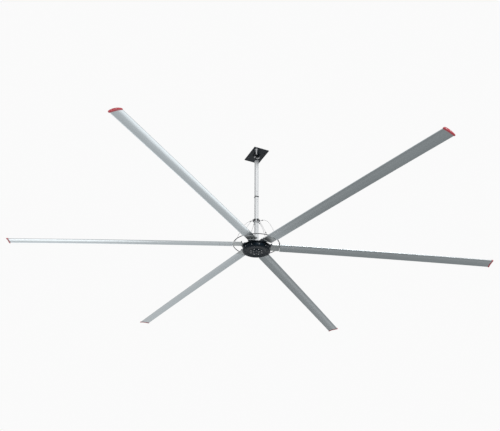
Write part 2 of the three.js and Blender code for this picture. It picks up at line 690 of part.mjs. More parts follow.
function buildDropTube() {
  const group = new THREE.Group();
  const pivot = buildPivotBolt().rotateX(-Math.PI / 2);
  addPiece(group, 'lower_pivot_bolt', pivot.translate(0, -earOuterFace - GAP, lowerPivotHeight), zincSteel);
  const pivotNut = nut(PIVOT_DIAMETER).rotateX(-Math.PI / 2);
  addPiece(group, 'lower_pivot_nut', pivotNut.translate(0, earOuterFace + GAP, lowerPivotHeight), zincSteel);
  addPiece(group, 'tube_clevis', buildTubeClevis(), blackSteel);
  buildTubes(group);

  const foot = new THREE.Group();
  foot.position.z = -DROP;
  buildJournal(foot);
  addPiece(foot, 'tube_flange', buildTubeFlange(), blackSteel);
  addPiece(foot, 'spindle', buildSpindle(), zincSteel);
  addPiece(foot, 'stator_core', buildStatorCore(), laminatedSteel);
  addPiece(foot, 'stator_winding', buildWinding(), copperWire);
  const upperBearing = bearing(UPPER_BEARING_INNER, UPPER_BEARING_OUTER, upperBearingFoot, upperBearingTop);
  addPiece(foot, 'upper_bearing', upperBearing, bearingSteel);
  const lowerBearing = bearing(LOWER_BEARING_INNER, LOWER_BEARING_OUTER, lowerBearingFoot, lowerBearingTop);
  addPiece(foot, 'lower_bearing', lowerBearing, bearingSteel);
  const spindleNut = cut(
    hexagon(SPINDLE_NUT_ACROSS, spindleNutFoot, spindleNutTop),
    rod(LOWER_BEARING_INNER - GAP / 2, spindleNutFoot - OVERRUN, spindleNutTop + OVERRUN),
  );
  addPiece(foot, 'spindle_nut', spindleNut, zincSteel);
  group.add(foot);
  return group;
}

// ---------------------------------------------------------------- hub, turning

const hubPlateFoot = HUB_PLATE_TOP - HUB_PLATE_THICK;
const shellTop = hubPlateFoot - GAP;
const shellFoot = coverFloorTop + GAP;

function buildHubPlate() {
  const pocket = UPPER_BEARING_OUTER + GAP;
  return turned([
    [HUB_MOUTH_RADIUS, HUB_PLATE_TOP],
    [HUB_RADIUS, HUB_PLATE_TOP],
    [HUB_RADIUS, hubPlateFoot],
    [pocket + BOSS_WALL, hubPlateFoot],
    [pocket + BOSS_WALL, upperBearingFoot],
    [pocket, upperBearingFoot],
    [pocket, HUB_PLATE_TOP - HUB_LIP_THICK],
    [HUB_MOUTH_RADIUS, HUB_PLATE_TOP - HUB_LIP_THICK],
  ], ROUND_SIDES);
}

// A shallow dish with a boss inside it that holds the lower bearing.
function buildLowerCover() {
  const pocket = LOWER_BEARING_OUTER + GAP;
  return turned([
    [COVER_MOUTH_RADIUS, COVER_FOOT],
    [HUB_RADIUS - COVER_CHAMFER, COVER_FOOT],
    [HUB_RADIUS, COVER_FOOT + COVER_CHAMFER],
    [HUB_RADIUS, COVER_RIM],
    [HUB_RADIUS - COVER_WALL, COVER_RIM],
    [HUB_RADIUS - COVER_WALL, COVER_FOOT + COVER_CHAMFER],
    [HUB_RADIUS - COVER_WALL - COVER_INNER_CHAMFER, coverFloorTop],
    [pocket + BOSS_WALL, coverFloorTop],
    [pocket + BOSS_WALL, lowerBearingTop],
    [pocket, lowerBearingTop],
    [pocket, coverFloorTop],
    [COVER_MOUTH_RADIUS, coverFloorTop],
  ], ROUND_SIDES);
}

function buildHub() {
  const hub = new THREE.Group();
  addPiece(hub, 'hub_plate', buildHubPlate(), blackSteel);
  addPiece(hub, 'motor_shell', ring(shellRadius, shellInner, shellFoot, shellTop), blackSteel);
  const magnets = ring(magnetOuter, magnetInner, shellFoot + MAGNET_MARGIN, shellTop - MAGNET_MARGIN);
  addPiece(hub, 'magnet_ring', magnets, magnetBlack);
  addPiece(hub, 'lower_cover', buildLowerCover(), blackSteel);

  const capTop = COVER_FOOT - GAP;
  const capFoot = capTop - DUST_CAP_THICK;
  const dustCap = turned([
    [0, capFoot],
    [DUST_CAP_RADIUS - DUST_CAP_CHAMFER, capFoot],
    [DUST_CAP_RADIUS, capFoot + DUST_CAP_CHAMFER],
    [DUST_CAP_RADIUS, capTop],
    [0, capTop],
  ], ROUND_SIDES);
  addPiece(hub, 'dust_cap', dustCap, blackSteel);
  return hub;
}

// ---------------------------------------------------------------- blades

// Along the chord, share 0 is the leading edge and share 1 the trailing edge.

function meanHeight(share) {
  return CAMBER * (4 * share * (1 - share) - 2 / 3);
}

function halfThickness(share) {
  const polynomial = 0.2969 * Math.sqrt(share) - 0.126 * share - 0.3516 * share ** 2
    + 0.2843 * share ** 3 - 0.1015 * share ** 4;
  return 5 * AEROFOIL_THICK * polynomial + NOSE_HALF * (1 - share) + TAIL_HALF * share;
}

// A closed loop, anticlockwise, between two shares of the chord: out along the underside and back
// along the top. Both are moved outwards, and the chord's ends are moved forwards and backwards.
function sectionLoop(shares, outwards, forwards) {
  const side = (share, sign) => new THREE.Vector2(
    (share - SPAR_SHARE) * CHORD + (2 * share - 1) * forwards,
    meanHeight(share) + sign * (halfThickness(share) + outwards),
  );
  const underside = shares.map((share) => side(share, -1));
  const top = shares.map((share) => side(share, 1)).reverse();
  return [...underside, ...top];
}

// Steps close up towards both edges, where the section curves most.
function sectionOutline(outwards) {
  const shares = Array.from({ length: SURFACE_STEPS + 1 },
    (_, i) => (1 - Math.cos(Math.PI * i / SURFACE_STEPS)) / 2);
  return sectionLoop(shares, outwards, outwards);
}

function cellLoop([from, to], inwards) {
  const shares = Array.from({ length: CELL_STEPS + 1 }, (_, i) => from + (to - from) * i / CELL_STEPS);
  return sectionLoop(shares, -inwards, 0);
}

const pitchAngle = THREE.MathUtils.degToRad(PITCH);

function bladeHeight(radius) {
  const share = radius / TIP_RADIUS;
  return -CONE_DROP * share - BEND_DROP * share * share;
}

// Puts a section point in space at a radius, in the frame of a blade that points along +X.
function bladePlace(radius) {
  return (point) => new THREE.Vector3(
    radius,
    point.x * Math.cos(pitchAngle) + point.y * Math.sin(pitchAngle),
    bladeHeight(radius) - point.x * Math.sin(pitchAngle) + point.y * Math.cos(pitchAngle),
  );
}

const bladeRootRadius = HUB_RADIUS + BLADE_FROM_HUB;
const capInnerRadius = TIP_RADIUS - CAP_THICK;
const bladeEndRadius = capInnerRadius - GAP;
const ribShare = RIB_WALL / CHORD;
const sparStart = SPAR_SHARE - SPAR_CELL_WIDTH / 2 / CHORD;
const sparEnd = SPAR_SHARE + SPAR_CELL_WIDTH / 2 / CHORD;
const sparCell = [sparStart, sparEnd];
const cellShares = [
  [NOSE_CELL_START, sparStart - ribShare],
  sparCell,
  [sparEnd + ribShare, TAIL_CELL_START - ribShare],
  [TAIL_CELL_START, TAIL_CELL_END],
];

function buildBlade() {
  const cells = cellShares.map((cell) => cellLoop(cell, BLADE_WALL).reverse());
  const places = Array.from({ length: BLADE_SPANS + 1 },
    (_, i) => bladePlace(bladeRootRadius + (bladeEndRadius - bladeRootRadius) * i / BLADE_SPANS));
  return loft(sectionOutline(0), cells, places);
}

// The outer cover of a blade's end, and a plug that reaches into the spar's cell.
function buildBladeCap() {
  const middle = new THREE.Vector2((0.5 - SPAR_SHARE) * CHORD, 0);
  const outerShare = 1 - 2 * CAP_ROUNDING / CHORD;
  const cover = loft(sectionOutline(CAP_PROUD), [], [
    bladePlace(capInnerRadius),
    bladePlace(TIP_RADIUS - CAP_ROUNDING),
    (point) => bladePlace(TIP_RADIUS)(middle.clone().lerp(point, outerShare)),
  ]);
  const sideShare = CAP_PLUG_CLEARANCE / CHORD;
  const plugCell = [sparStart + sideShare, sparEnd - sideShare];
  const plug = loft(cellLoop(plugCell, BLADE_WALL + CAP_PLUG_CLEARANCE), [], [
    bladePlace(capInnerRadius - CAP_PLUG_LENGTH),
    bladePlace(capInnerRadius + SINK),
  ]);
  return joined(cover, plug);
}

// A rectangle one unit wide and one high, with its corners cut.
function armSection() {
  const inner = 0.5 - ARM_CHAMFER;
  const corners = [[1, -1], [1, 1], [-1, 1], [-1, -1]];
  return corners.flatMap(([x, y]) => {
    const flank = new THREE.Vector2(0.5 * x, inner * y);
    const face = new THREE.Vector2(inner * x, 0.5 * y);
    return x === y ? [flank, face] : [face, flank];
  });
}

// The arm's block is level. Its broad length has the blade's pitch, and its top is the chord line.
function armBlockPlace(radius) {
  const thick = ARM_BLOCK_TOP - HUB_PLATE_TOP - GAP;
  return (point) => new THREE.Vector3(
    radius,
    point.x * ARM_BLOCK_WIDTH,
    ARM_BLOCK_TOP + (point.y - 0.5) * thick,
  );
}

function armBroadPlace(radius) {
  const width = CHORD - 2 * ARM_BROAD_INSET;
  const middle = (0.5 - SPAR_SHARE) * CHORD;
  return (point) => bladePlace(radius)(new THREE.Vector2(
    middle + point.x * width,
    (point.y - 0.5) * ARM_BROAD_THICK,
  ));
}

// The tongue fills the spar's cell but for its clearances.
function armTonguePlace(radius) {
  const cellHeights = cellLoop(sparCell, BLADE_WALL).map((point) => point.y);
  const cellFloor = Math.max(...cellHeights.slice(0, CELL_STEPS + 1));
  const cellRoof = Math.min(...cellHeights.slice(CELL_STEPS + 1));
  const width = SPAR_CELL_WIDTH - 2 * TONGUE_SIDE_CLEARANCE;
  const thick = cellRoof - cellFloor - 2 * TONGUE_FACE_CLEARANCE;
  return (point) => bladePlace(radius)(new THREE.Vector2(
    point.x * width,
    (cellFloor + cellRoof) / 2 + point.y * thick,
  ));
}

function buildArm() {
  const tongueStart = bladeRootRadius - TONGUE_LEAD;
  return loft(armSection(), [], [
    armBlockPlace(ARM_INNER_RADIUS),
    armBlockPlace(HUB_RADIUS - ARM_BLOCK_FROM_RIM),
    armBroadPlace(HUB_RADIUS + ARM_BROAD_FROM_RIM),
    armBroadPlace(tongueStart - ARM_STEP),
    armTonguePlace(tongueStart),
    armTonguePlace(bladeRootRadius + TONGUE_LENGTH),
  ]);
}

// ---------------------------------------------------------------- safety ring, collar and ropes

const ringRadius = bladeRootRadius - RING_FROM_BLADE - RING_ROD / 2;
const armTop = Math.max(...armSection().map((point) => armBroadPlace(ringRadius)(point).z));
const ringHeight = armTop + RING_FROM_ARM + RING_ROD / 2;

function buildSwivel() {
  const lugStart = swivelInner + SWIVEL_WALL / 2;
  const lugs = headings(ROPE_LEAD).map((heading) => box(
    lugEnd - lugStart,
    LUG_WIDTH,
    COLLAR_HEIGHT - LUG_DEPTH / 2,
    COLLAR_HEIGHT + LUG_DEPTH / 2,
  ).translate((lugStart + lugEnd) / 2, 0, 0).rotateZ(heading));
  return joined(ring(swivelOuter, swivelInner, swivelFoot, swivelTop, SMALL_SIDES), ...lugs);
}

// A rope from the collar down to the ring, in the plane of +X and +Z.
function buildRope(slack) {
  const start = new THREE.Vector3(lugEnd + ROPE_DIAMETER / 2 + GAP, 0, COLLAR_HEIGHT);
  const end = new THREE.Vector3(ringRadius, 0, ringHeight + RING_ROD / 2 + ROPE_DIAMETER / 2 + GAP);
  const third = end.clone().sub(start).divideScalar(3);
  const nearTaut = start.clone().add(third);
  const farTaut = end.clone().sub(third);
  const nearBowed = start.clone().add(new THREE.Vector3(ROPE_BOW_OUT, 0, ROPE_BOW_UP));
  const farBowed = end.clone().add(new THREE.Vector3(-ROPE_BOW_IN, 0, ROPE_BOW_RISE));
  const route = new THREE.CubicBezierCurve3(
    start,
    nearTaut.lerp(nearBowed, slack),
    farTaut.lerp(farBowed, slack),
    end,
  );
  const section = new THREE.Shape(Array.from({ length: ROPE_SIDES }, (_, i) => {
    const angle = 2 * Math.PI * i / ROPE_SIDES;
    return new THREE.Vector2(Math.cos(angle), Math.sin(angle)).multiplyScalar(ROPE_DIAMETER / 2);
  }));
  return closed(new THREE.ExtrudeGeometry(section, { steps: ROPE_STEPS, extrudePath: route }));
}

// ---------------------------------------------------------------- rotor

// The angles of the blades, turned by the given number of degrees.
function headings(turn) {
  return Array.from({ length: BLADE_COUNT },
    (_, i) => THREE.MathUtils.degToRad(FIRST_HEADING + turn + 360 * i / BLADE_COUNT));
}

function buildRotor() {
  const rotor = new THREE.Group();
  rotor.position.z = -DROP;
  rotor.add(buildHub());
  headings(0).forEach((heading, i) => {
    const spoke = new THREE.Group();
    spoke.rotation.z = heading;
    addPiece(spoke, `blade_arm_${i + 1}`, buildArm(), greySteel);
    addPiece(spoke, `blade_${i + 1}`, buildBlade(), bladeAluminium);
    addPiece(spoke, `blade_cap_${i + 1}`, buildBladeCap(), redPlastic);
    rotor.add(spoke);
  });
  const safetyRing = new THREE.TorusGeometry(ringRadius, RING_ROD / 2, RING_SIDES, RING_STEPS);
  addPiece(rotor, 'safety_ring', closed(safetyRing).translate(0, 0, ringHeight), darkSteel);
  addPiece(rotor, 'tether_swivel', buildSwivel(), galvanisedSteel);
  headings(ROPE_LEAD).forEach((heading, i) => {
    const rope = buildRope(ROPE_SLACK[i]).rotateZ(heading);
    addPiece(rotor, `tether_rope_${i + 1}`, rope, ropeSteel);
  });
  return rotor;
}

const fan = new THREE.Group();
fan.add(buildCeilingMount(), buildLinkGroup(), buildDropTube(), buildRotor());

export default fan;
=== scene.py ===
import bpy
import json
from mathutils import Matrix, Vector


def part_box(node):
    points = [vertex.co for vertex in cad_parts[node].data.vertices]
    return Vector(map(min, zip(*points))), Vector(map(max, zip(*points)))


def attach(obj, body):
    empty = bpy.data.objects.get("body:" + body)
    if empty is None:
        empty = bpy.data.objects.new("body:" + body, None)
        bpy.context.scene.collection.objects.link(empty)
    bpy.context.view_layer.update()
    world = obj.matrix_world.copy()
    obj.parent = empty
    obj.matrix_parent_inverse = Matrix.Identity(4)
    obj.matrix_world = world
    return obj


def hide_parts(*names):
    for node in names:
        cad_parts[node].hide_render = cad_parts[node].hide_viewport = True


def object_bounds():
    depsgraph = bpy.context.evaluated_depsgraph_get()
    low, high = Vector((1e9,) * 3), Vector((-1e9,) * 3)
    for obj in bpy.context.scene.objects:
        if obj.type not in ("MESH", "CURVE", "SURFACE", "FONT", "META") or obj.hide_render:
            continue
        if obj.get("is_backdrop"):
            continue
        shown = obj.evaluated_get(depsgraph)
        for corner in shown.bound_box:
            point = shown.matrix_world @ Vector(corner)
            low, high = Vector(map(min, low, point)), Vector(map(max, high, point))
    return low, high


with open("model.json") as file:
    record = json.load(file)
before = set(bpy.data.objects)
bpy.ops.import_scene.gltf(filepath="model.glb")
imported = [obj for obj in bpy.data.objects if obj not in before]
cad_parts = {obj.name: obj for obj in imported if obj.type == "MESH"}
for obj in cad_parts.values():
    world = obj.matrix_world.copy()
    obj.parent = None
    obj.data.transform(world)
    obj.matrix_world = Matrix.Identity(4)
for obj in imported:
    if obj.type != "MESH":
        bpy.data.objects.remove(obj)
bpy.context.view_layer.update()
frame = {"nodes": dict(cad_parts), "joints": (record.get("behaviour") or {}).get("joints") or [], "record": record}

# %% [markdown]
# Several pieces share a few measures: the height of the blades' root plane, and the six ways that
# the blades point. They could be typed in again here, but what is read from the frame stays right
# when the construction model changes. Everything is in metres.
# %% Libraries and the measures that everything shares
import json
import math

import bmesh
import bpy
import numpy as np
from mathutils import Matrix, Vector
from mathutils.geometry import tessellate_polygon

MM = 0.001
joints = {joint["name"]: joint for joint in frame["joints"]}
ROOT = joints["rotor_spin"]["pos_m"][2]  # height of the plane that the blades spring from
BLADE_COUNT = 6
FIRST_HEADING = math.radians(-20)


def around(count):
    """Even steps of one full turn, as angles from +X."""
    return [math.tau * i / count for i in range(count)]


def faced(heading):
    """Turns a piece that points along +X to a heading."""
    return Matrix.Rotation(heading, 4, "Z")


headings = [FIRST_HEADING + angle for angle in around(BLADE_COUNT)]

# %% [markdown]
# The camera comes first. It stands low in the hall and looks up at the fan. A camera can be nudged
# by eye until a picture fits, but long straight blades say more: its place and angles were worked
# out from the lines of the six blades, and are written here as plain real sizes.
# %% Camera
CAMERA_PLACE = (-3.6634, -7.8219, -6.1675)
CAMERA_HEADING = math.radians(65.57)  # from +X towards +Y
CAMERA_PITCH = math.radians(30.16)
CAMERA_ROLL = math.radians(0.46)
CAMERA_LENS = 46.28  # mm, as the sensor's width is
SENSOR_WIDTH = 36


def aim_camera():
    forward = Vector((
        math.cos(CAMERA_HEADING) * math.cos(CAMERA_PITCH),
        math.sin(CAMERA_HEADING) * math.cos(CAMERA_PITCH),
        math.sin(CAMERA_PITCH),
    ))
    level = Vector((math.sin(CAMERA_HEADING), -math.cos(CAMERA_HEADING), 0))
    upright = level.cross(forward)
    right = math.cos(CAMERA_ROLL) * level + math.sin(CAMERA_ROLL) * upright
    up = right.cross(forward)
    turn = Matrix((right, up, -forward)).transposed().to_4x4()
    data = bpy.data.cameras.new("camera")
    data.sensor_width = SENSOR_WIDTH
    data.lens = CAMERA_LENS
    data.clip_end = 200
    camera = bpy.data.objects.new("camera", data)
    camera.matrix_world = Matrix.Translation(CAMERA_PLACE) @ turn
    bpy.context.scene.collection.objects.link(camera)
    bpy.context.scene.camera = camera
    return camera


print("camera", [round(x, 3) for x in aim_camera().location])

# %% [markdown]
# Every finish is a material made of nodes. In the editor each node is placed and wired by hand. In
# a script, one helper adds a node and fills its inputs, each with a plain value or with the output
# that feeds it, so a whole tree reads as a list of steps. It serves Geometry Nodes alike.
# %% Node helpers
FLOAT = "NodeSocketFloat"
INTEGER = "NodeSocketInt"
VECTOR = "NodeSocketVector"
GEOMETRY = "NodeSocketGeometry"


def feed(tree, socket, value):
    """Gives a socket a value or another node's output."""
    if isinstance(value, bpy.types.NodeSocket):
        tree.links.new(value, socket)
    else:
        socket.default_value = value


def add(tree, kind, inputs=None, **settings):
    """Adds a node. An input is named or numbered, and takes a value or another node's output."""
    node = tree.nodes.new(kind)
    for key, value in settings.items():
        setattr(node, key, value)
    for key, value in (inputs or {}).items():
        feed(tree, node.inputs[key], value)
    return node


def reckoned(tree, operation, *values):
    """The output of a Math node."""
    return add(tree, "ShaderNodeMath", dict(enumerate(values)), operation=operation).outputs[0]


def new_group(name, kind, inputs, outputs):
    """A node group with named sockets. Returns it with its input node and its output node."""
    group = bpy.data.node_groups.new(name, kind)
    for label, (socket_kind, value) in inputs.items():
        socket = group.interface.new_socket(name=label, in_out="INPUT", socket_type=socket_kind)
        if value is not None:
            socket.default_value = value
    for label, socket_kind in outputs.items():
        group.interface.new_socket(name=label, in_out="OUTPUT", socket_type=socket_kind)
    return group, add(group, "NodeGroupInput"), add(group, "NodeGroupOutput")


print("sockets of a group:", FLOAT, INTEGER, VECTOR, GEOMETRY)

# %% [markdown]
# Paint, plating and bare metal differ at close range in a few ways that repeat. Paint and plastic
# have a fine grain, and rolled, drawn or extruded metal has long streaks. Each could be drawn anew
# in every material. Built once as a shader group, it can be placed in each with its own values.
# %% Grain and streaks


def tone_about(group, given, value, middle):
    """A factor about 1 that follows a value about its middle, by the group's Contrast."""
    centred = reckoned(group, "SUBTRACT", value, middle)
    return reckoned(group, "MULTIPLY_ADD", centred, given.outputs["Contrast"], 1.0)


def build_grain():
    """Cloudy variation and fine speckle. Tone is about 1, Height is about 0."""
    group, given, result = new_group("grain", "ShaderNodeTree", {
        "Vector": (VECTOR, None),
        "Cloud Scale": (FLOAT, 6.0),
        "Speckle Scale": (FLOAT, 900.0),
        "Contrast": (FLOAT, 0.2),
    }, {"Tone": FLOAT, "Height": FLOAT})
    vector = given.outputs["Vector"]
    cloud = add(group, "ShaderNodeTexNoise", {
        "Vector": vector, "Scale": given.outputs["Cloud Scale"], "Detail": 5.0, "Roughness": 0.6})
    speckle = add(group, "ShaderNodeTexNoise", {
        "Vector": vector, "Scale": given.outputs["Speckle Scale"], "Detail": 2.0})
    both = reckoned(group, "ADD", cloud.outputs["Fac"], speckle.outputs["Fac"])
    group.links.new(tone_about(group, given, both, 1.0), result.inputs["Tone"])
    group.links.new(speckle.outputs["Fac"], result.inputs["Height"])
    return group


def build_streaks():
    """Lines along the Z of the given vector, as rolling, drawing and extruding leave."""
    group, given, result = new_group("streaks", "ShaderNodeTree", {
        "Vector": (VECTOR, None),
        "Across": (FLOAT, 150.0),
        "Along": (FLOAT, 0.6),
        "Contrast": (FLOAT, 0.2),
    }, {"Tone": FLOAT, "Height": FLOAT})
    stretch = add(group, "ShaderNodeCombineXYZ", {
        "X": given.outputs["Across"], "Y": given.outputs["Across"], "Z": given.outputs["Along"]})
    stretched = add(group, "ShaderNodeVectorMath", {
        0: given.outputs["Vector"], 1: stretch.outputs[0]}, operation="MULTIPLY")
    coarse = add(group, "ShaderNodeTexNoise", {
        "Vector": stretched.outputs[0], "Scale": 0.35, "Detail": 3.0, "Roughness": 0.65})
    fine = add(group, "ShaderNodeTexNoise", {
        "Vector": stretched.outputs[0], "Scale": 2.5, "Detail": 4.0, "Roughness": 0.6})
    both = reckoned(group, "ADD", coarse.outputs["Fac"], fine.outputs["Fac"])
    group.links.new(tone_about(group, given, both, 1.0), result.inputs["Tone"])
    group.links.new(fine.outputs["Fac"], result.inputs["Height"])
    return group


GRAIN = build_grain()
STREAKS = build_streaks()
print("shader groups", GRAIN.name, "and", STREAKS.name)

# %% [markdown]
# Hot zinc cools on steel as flat crystals, each with its own brightness, and a Voronoi texture
# gives just such cells. Dust settles on whatever faces up, in uneven patches. It could be painted
# by hand on each piece, but the surface's own direction tells where it lies.
# %% Zinc crystals and dust


def build_spangle():
    """Zinc crystals: flat grains with their own brightness and thin borders."""
    group, given, result = new_group("spangle", "ShaderNodeTree", {
        "Vector": (VECTOR, None),
        "Scale": (FLOAT, 70.0),
        "Contrast": (FLOAT, 0.3),
    }, {"Tone": FLOAT, "Height": FLOAT})
    bend = add(group, "ShaderNodeTexNoise", {"Vector": given.outputs["Vector"], "Scale": 40.0})
    bent = add(group, "ShaderNodeVectorMath", {
        0: bend.outputs["Color"], 1: (0.012, 0.012, 0.012), 2: given.outputs["Vector"]},
        operation="MULTIPLY_ADD")
    crystal = add(group, "ShaderNodeTexVoronoi", {
        "Vector": bent.outputs[0], "Scale": given.outputs["Scale"]})
    single = add(group, "ShaderNodeSeparateColor", {"Color": crystal.outputs["Color"]})
    group.links.new(tone_about(group, given, single.outputs[0], 0.5), result.inputs["Tone"])
    group.links.new(crystal.outputs["Distance"], result.inputs["Height"])
    return group


def build_dust():
    """How much dust lies here: it settles on what faces up, in uneven patches."""
    group, given, result = new_group("dust", "ShaderNodeTree", {
        "Vector": (VECTOR, None),
        "Amount": (FLOAT, 0.5),
    }, {"Mask": FLOAT})
    facing = add(group, "ShaderNodeNewGeometry")
    upwards = add(group, "ShaderNodeSeparateXYZ", {0: facing.outputs["Normal"]})
    flat = add(group, "ShaderNodeMapRange", {
        "Value": upwards.outputs["Z"], "From Min": 0.35, "From Max": 1.0})
    patches = add(group, "ShaderNodeTexNoise", {
        "Vector": given.outputs["Vector"], "Scale": 9.0, "Detail": 6.0, "Roughness": 0.7})
    uneven = add(group, "ShaderNodeMapRange", {
        "Value": patches.outputs["Fac"], "From Min": 0.3, "From Max": 0.7})
    settled = reckoned(group, "MULTIPLY", flat.outputs[0], uneven.outputs[0])
    mask = reckoned(group, "MULTIPLY", settled, given.outputs["Amount"])
    group.links.new(mask, result.inputs["Mask"])
    return group


SPANGLE = build_spangle()
DUST = build_dust()
print("shader groups", SPANGLE.name, "and", DUST.name)

# %% [markdown]
# A finish starts as a shader with its plain numbers. What varies over the surface is linked in
# afterwards: tone into the colour, height into a bump, and dust over both. Each could be wired in
# every material. One small class keeps the wiring in one place, and a finish is then a few words.
# %% Finish helpers
DUST_COLOUR = (0.42, 0.40, 0.37, 1)
DUST_ROUGHNESS = 0.9
MIX_SOCKETS = {"RGBA": (6, 7, 2), "FLOAT": (2, 3, 0)}  # two values to mix, and their result


class Finish:
    """One material and its shader, with the links that most finishes share."""

    def __init__(self, name, colour, roughness, metallic, shine=0.5):
        self.material = bpy.data.materials.new(name)
        self.material.use_nodes = True
        self.tree = self.material.node_tree
        self.tree.nodes.clear()
        self.shader = add(self.tree, "ShaderNodeBsdfPrincipled", {
            "Base Color": (*colour, 1),
            "Roughness": roughness,
            "Metallic": metallic,
            "Specular IOR Level": shine,
        })
        add(self.tree, "ShaderNodeOutputMaterial", {"Surface": self.shader.outputs[0]})
        self.colour = (*colour, 1)
        self.roughness = roughness
        self.place = add(self.tree, "ShaderNodeTexCoord").outputs["Object"]

    def effect(self, group, **values):
        """Places a shared effect, whose inputs are named with _ for a space."""
        node = add(self.tree, "ShaderNodeGroup", node_tree=group)
        feed(self.tree, node.inputs["Vector"], values.pop("Vector", self.place))
        for label, value in values.items():
            feed(self.tree, node.inputs[label.replace("_", " ")], value)
        return node

    def tone(self, *factors):
        """Multiplies the colour by every factor."""
        shade = factors[0]
        for factor in factors[1:]:
            shade = reckoned(self.tree, "MULTIPLY", shade, factor)
        scaled = add(self.tree, "ShaderNodeVectorMath", {
            0: self.colour[:3], "Scale": shade}, operation="SCALE")
        feed(self.tree, self.shader.inputs["Base Color"], scaled.outputs[0])
        self.shown = scaled.outputs[0]
        return self

    def wear(self, factor, spread):
        """Roughness follows a factor that is about 1."""
        low = self.roughness * (1 - spread)
        high = self.roughness * (1 + spread)
        mapped = add(self.tree, "ShaderNodeMapRange", {
            "Value": factor, "From Min": 0.7, "From Max": 1.3, "To Min": low, "To Max": high})
        feed(self.tree, self.shader.inputs["Roughness"], mapped.outputs[0])
        self.rough = mapped.outputs[0]
        return self

    def bump(self, height, depth, strength=0.4):
        """Relief that only the light sees."""
        bump = add(self.tree, "ShaderNodeBump", {
            "Height": height, "Distance": depth, "Strength": strength})
        feed(self.tree, self.shader.inputs["Normal"], bump.outputs[0])
        return self

    def grained(self, cloud, speckle, contrast, spread, depth, strength):
        """The look of paint and plastic: grain in the colour, the roughness and the bump."""
        grain = self.effect(GRAIN, Cloud_Scale=cloud, Speckle_Scale=speckle, Contrast=contrast)
        self.tone(grain.outputs["Tone"]).wear(grain.outputs["Tone"], spread)
        return self.bump(grain.outputs["Height"], depth, strength)

    def cover(self, label, mask, kind, under, over):
        """Feeds an input of the shader with one value, or another where the mask is 1."""
        first, second, result = MIX_SOCKETS[kind]
        mix = add(self.tree, "ShaderNodeMix", {0: mask, first: under, second: over}, data_type=kind)
        feed(self.tree, self.shader.inputs[label], mix.outputs[result])

    def dusty(self, amount):
        """Dust hides the colour under it and has no gloss."""
        mask = self.effect(DUST, Amount=amount).outputs["Mask"]
        self.cover("Base Color", mask, "RGBA", self.shown, DUST_COLOUR)
        self.cover("Roughness", mask, "FLOAT", self.rough, DUST_ROUGHNESS)
        metallic = self.shader.inputs["Metallic"].default_value
        if metallic > 0:
            self.cover("Metallic", mask, "FLOAT", metallic, 0.0)
        return self


print("dust colour", DUST_COLOUR[:3])

# %% [markdown]
# The black pieces are powder-coated steel: nearly black, satin, with the fine bumps that melted
# powder leaves. A plain dark colour would look like a hole in the picture. An uneven roughness and
# a tiny bump catch a little light, as the coat does. Arms and bolts have a thinner grey paint.
# %% Paints


def powder_coat(name, colour, roughness, dust, shine):
    finish = Finish(name, colour, roughness, 0.0, shine)
    finish.grained(cloud=4.0, speckle=700.0, contrast=0.35, spread=0.25, depth=0.0003, strength=0.35)
    return finish.dusty(dust).material


def satin_paint(name, colour, roughness, metallic):
    finish = Finish(name, colour, roughness, metallic)
    finish.grained(cloud=7.0, speckle=420.0, contrast=0.3, spread=0.3, depth=0.0002, strength=0.3)
    return finish.dusty(0.35).material


black_steel = powder_coat("black powder coat", (0.008, 0.0145, 0.022), 0.36, 0.35, 0.20)
black_aluminium = powder_coat("black cast aluminium", (0.006, 0.014, 0.023), 0.24, 0.25, 0.09)
dark_steel = satin_paint("dark steel paint", (0.055, 0.058, 0.063), 0.46, 0.3)
grey_steel = satin_paint("grey steel paint", (0.36, 0.385, 0.39), 0.36, 0.85)
print("paints", black_steel.name, black_aluminium.name, dark_steel.name, grey_steel.name)

# %% [markdown]
# The drop tube is hot-dip galvanised. The zinc freezes in crystals that each catch the light in
# their own way, and dull down with age. A cell pattern gives the crystals, and soft long streaks
# from the drawing of the tube run through them.
# %% Zinc


def galvanised(name, colour, roughness, metallic, crystal, contrast):
    finish = Finish(name, colour, roughness, metallic)
    spangle = finish.effect(SPANGLE, Scale=crystal, Contrast=contrast)
    streak = finish.effect(STREAKS, Across=90.0, Along=1.2, Contrast=contrast)
    finish.tone(spangle.outputs["Tone"], streak.outputs["Tone"])
    finish.wear(spangle.outputs["Tone"], 0.5)
    finish.bump(spangle.outputs["Height"], 0.0001, 0.2)
    return finish.dusty(0.3).material


galvanised_steel = galvanised("galvanised steel", (0.71, 0.725, 0.735), 0.44, 0.2, 85.0, 0.10)
zinc_steel = galvanised("zinc-plated steel", (0.60, 0.61, 0.62), 0.30, 0.9, 260.0, 0.05)
rope_steel = galvanised("rope wire", (0.30, 0.31, 0.32), 0.42, 0.8, 500.0, 0.06)
print("zinc", galvanised_steel.name, zinc_steel.name, rope_steel.name)

# %% [markdown]
# The blades are satin aluminium extrusions. The die leaves fine lines from root to tip, so the
# pattern has to follow each blade, whichever way it points. Every blade's mesh therefore carries
# an attribute, "lay", with its own chord, height and radius in metres, and the streaks read that.
# %% Blade aluminium


def blade_finish():
    finish = Finish("blade aluminium", (0.372, 0.410, 0.429), 0.24, 1.0)
    lay = add(finish.tree, "ShaderNodeAttribute", attribute_name="lay").outputs["Vector"]
    broad = finish.effect(STREAKS, Vector=lay, Across=130.0, Along=0.25, Contrast=0.20)
    fine = finish.effect(STREAKS, Vector=lay, Across=900.0, Along=0.8, Contrast=0.12)
    cloud = finish.effect(GRAIN, Cloud_Scale=1.6, Speckle_Scale=300.0, Contrast=0.10)
    finish.tone(broad.outputs["Tone"], fine.outputs["Tone"], cloud.outputs["Tone"])
    finish.wear(broad.outputs["Tone"], 0.45)
    finish.bump(fine.outputs["Height"], 0.00008, 0.25)
    return finish.dusty(0.25).material


blade_aluminium = blade_finish()
print("blade", blade_aluminium.name)

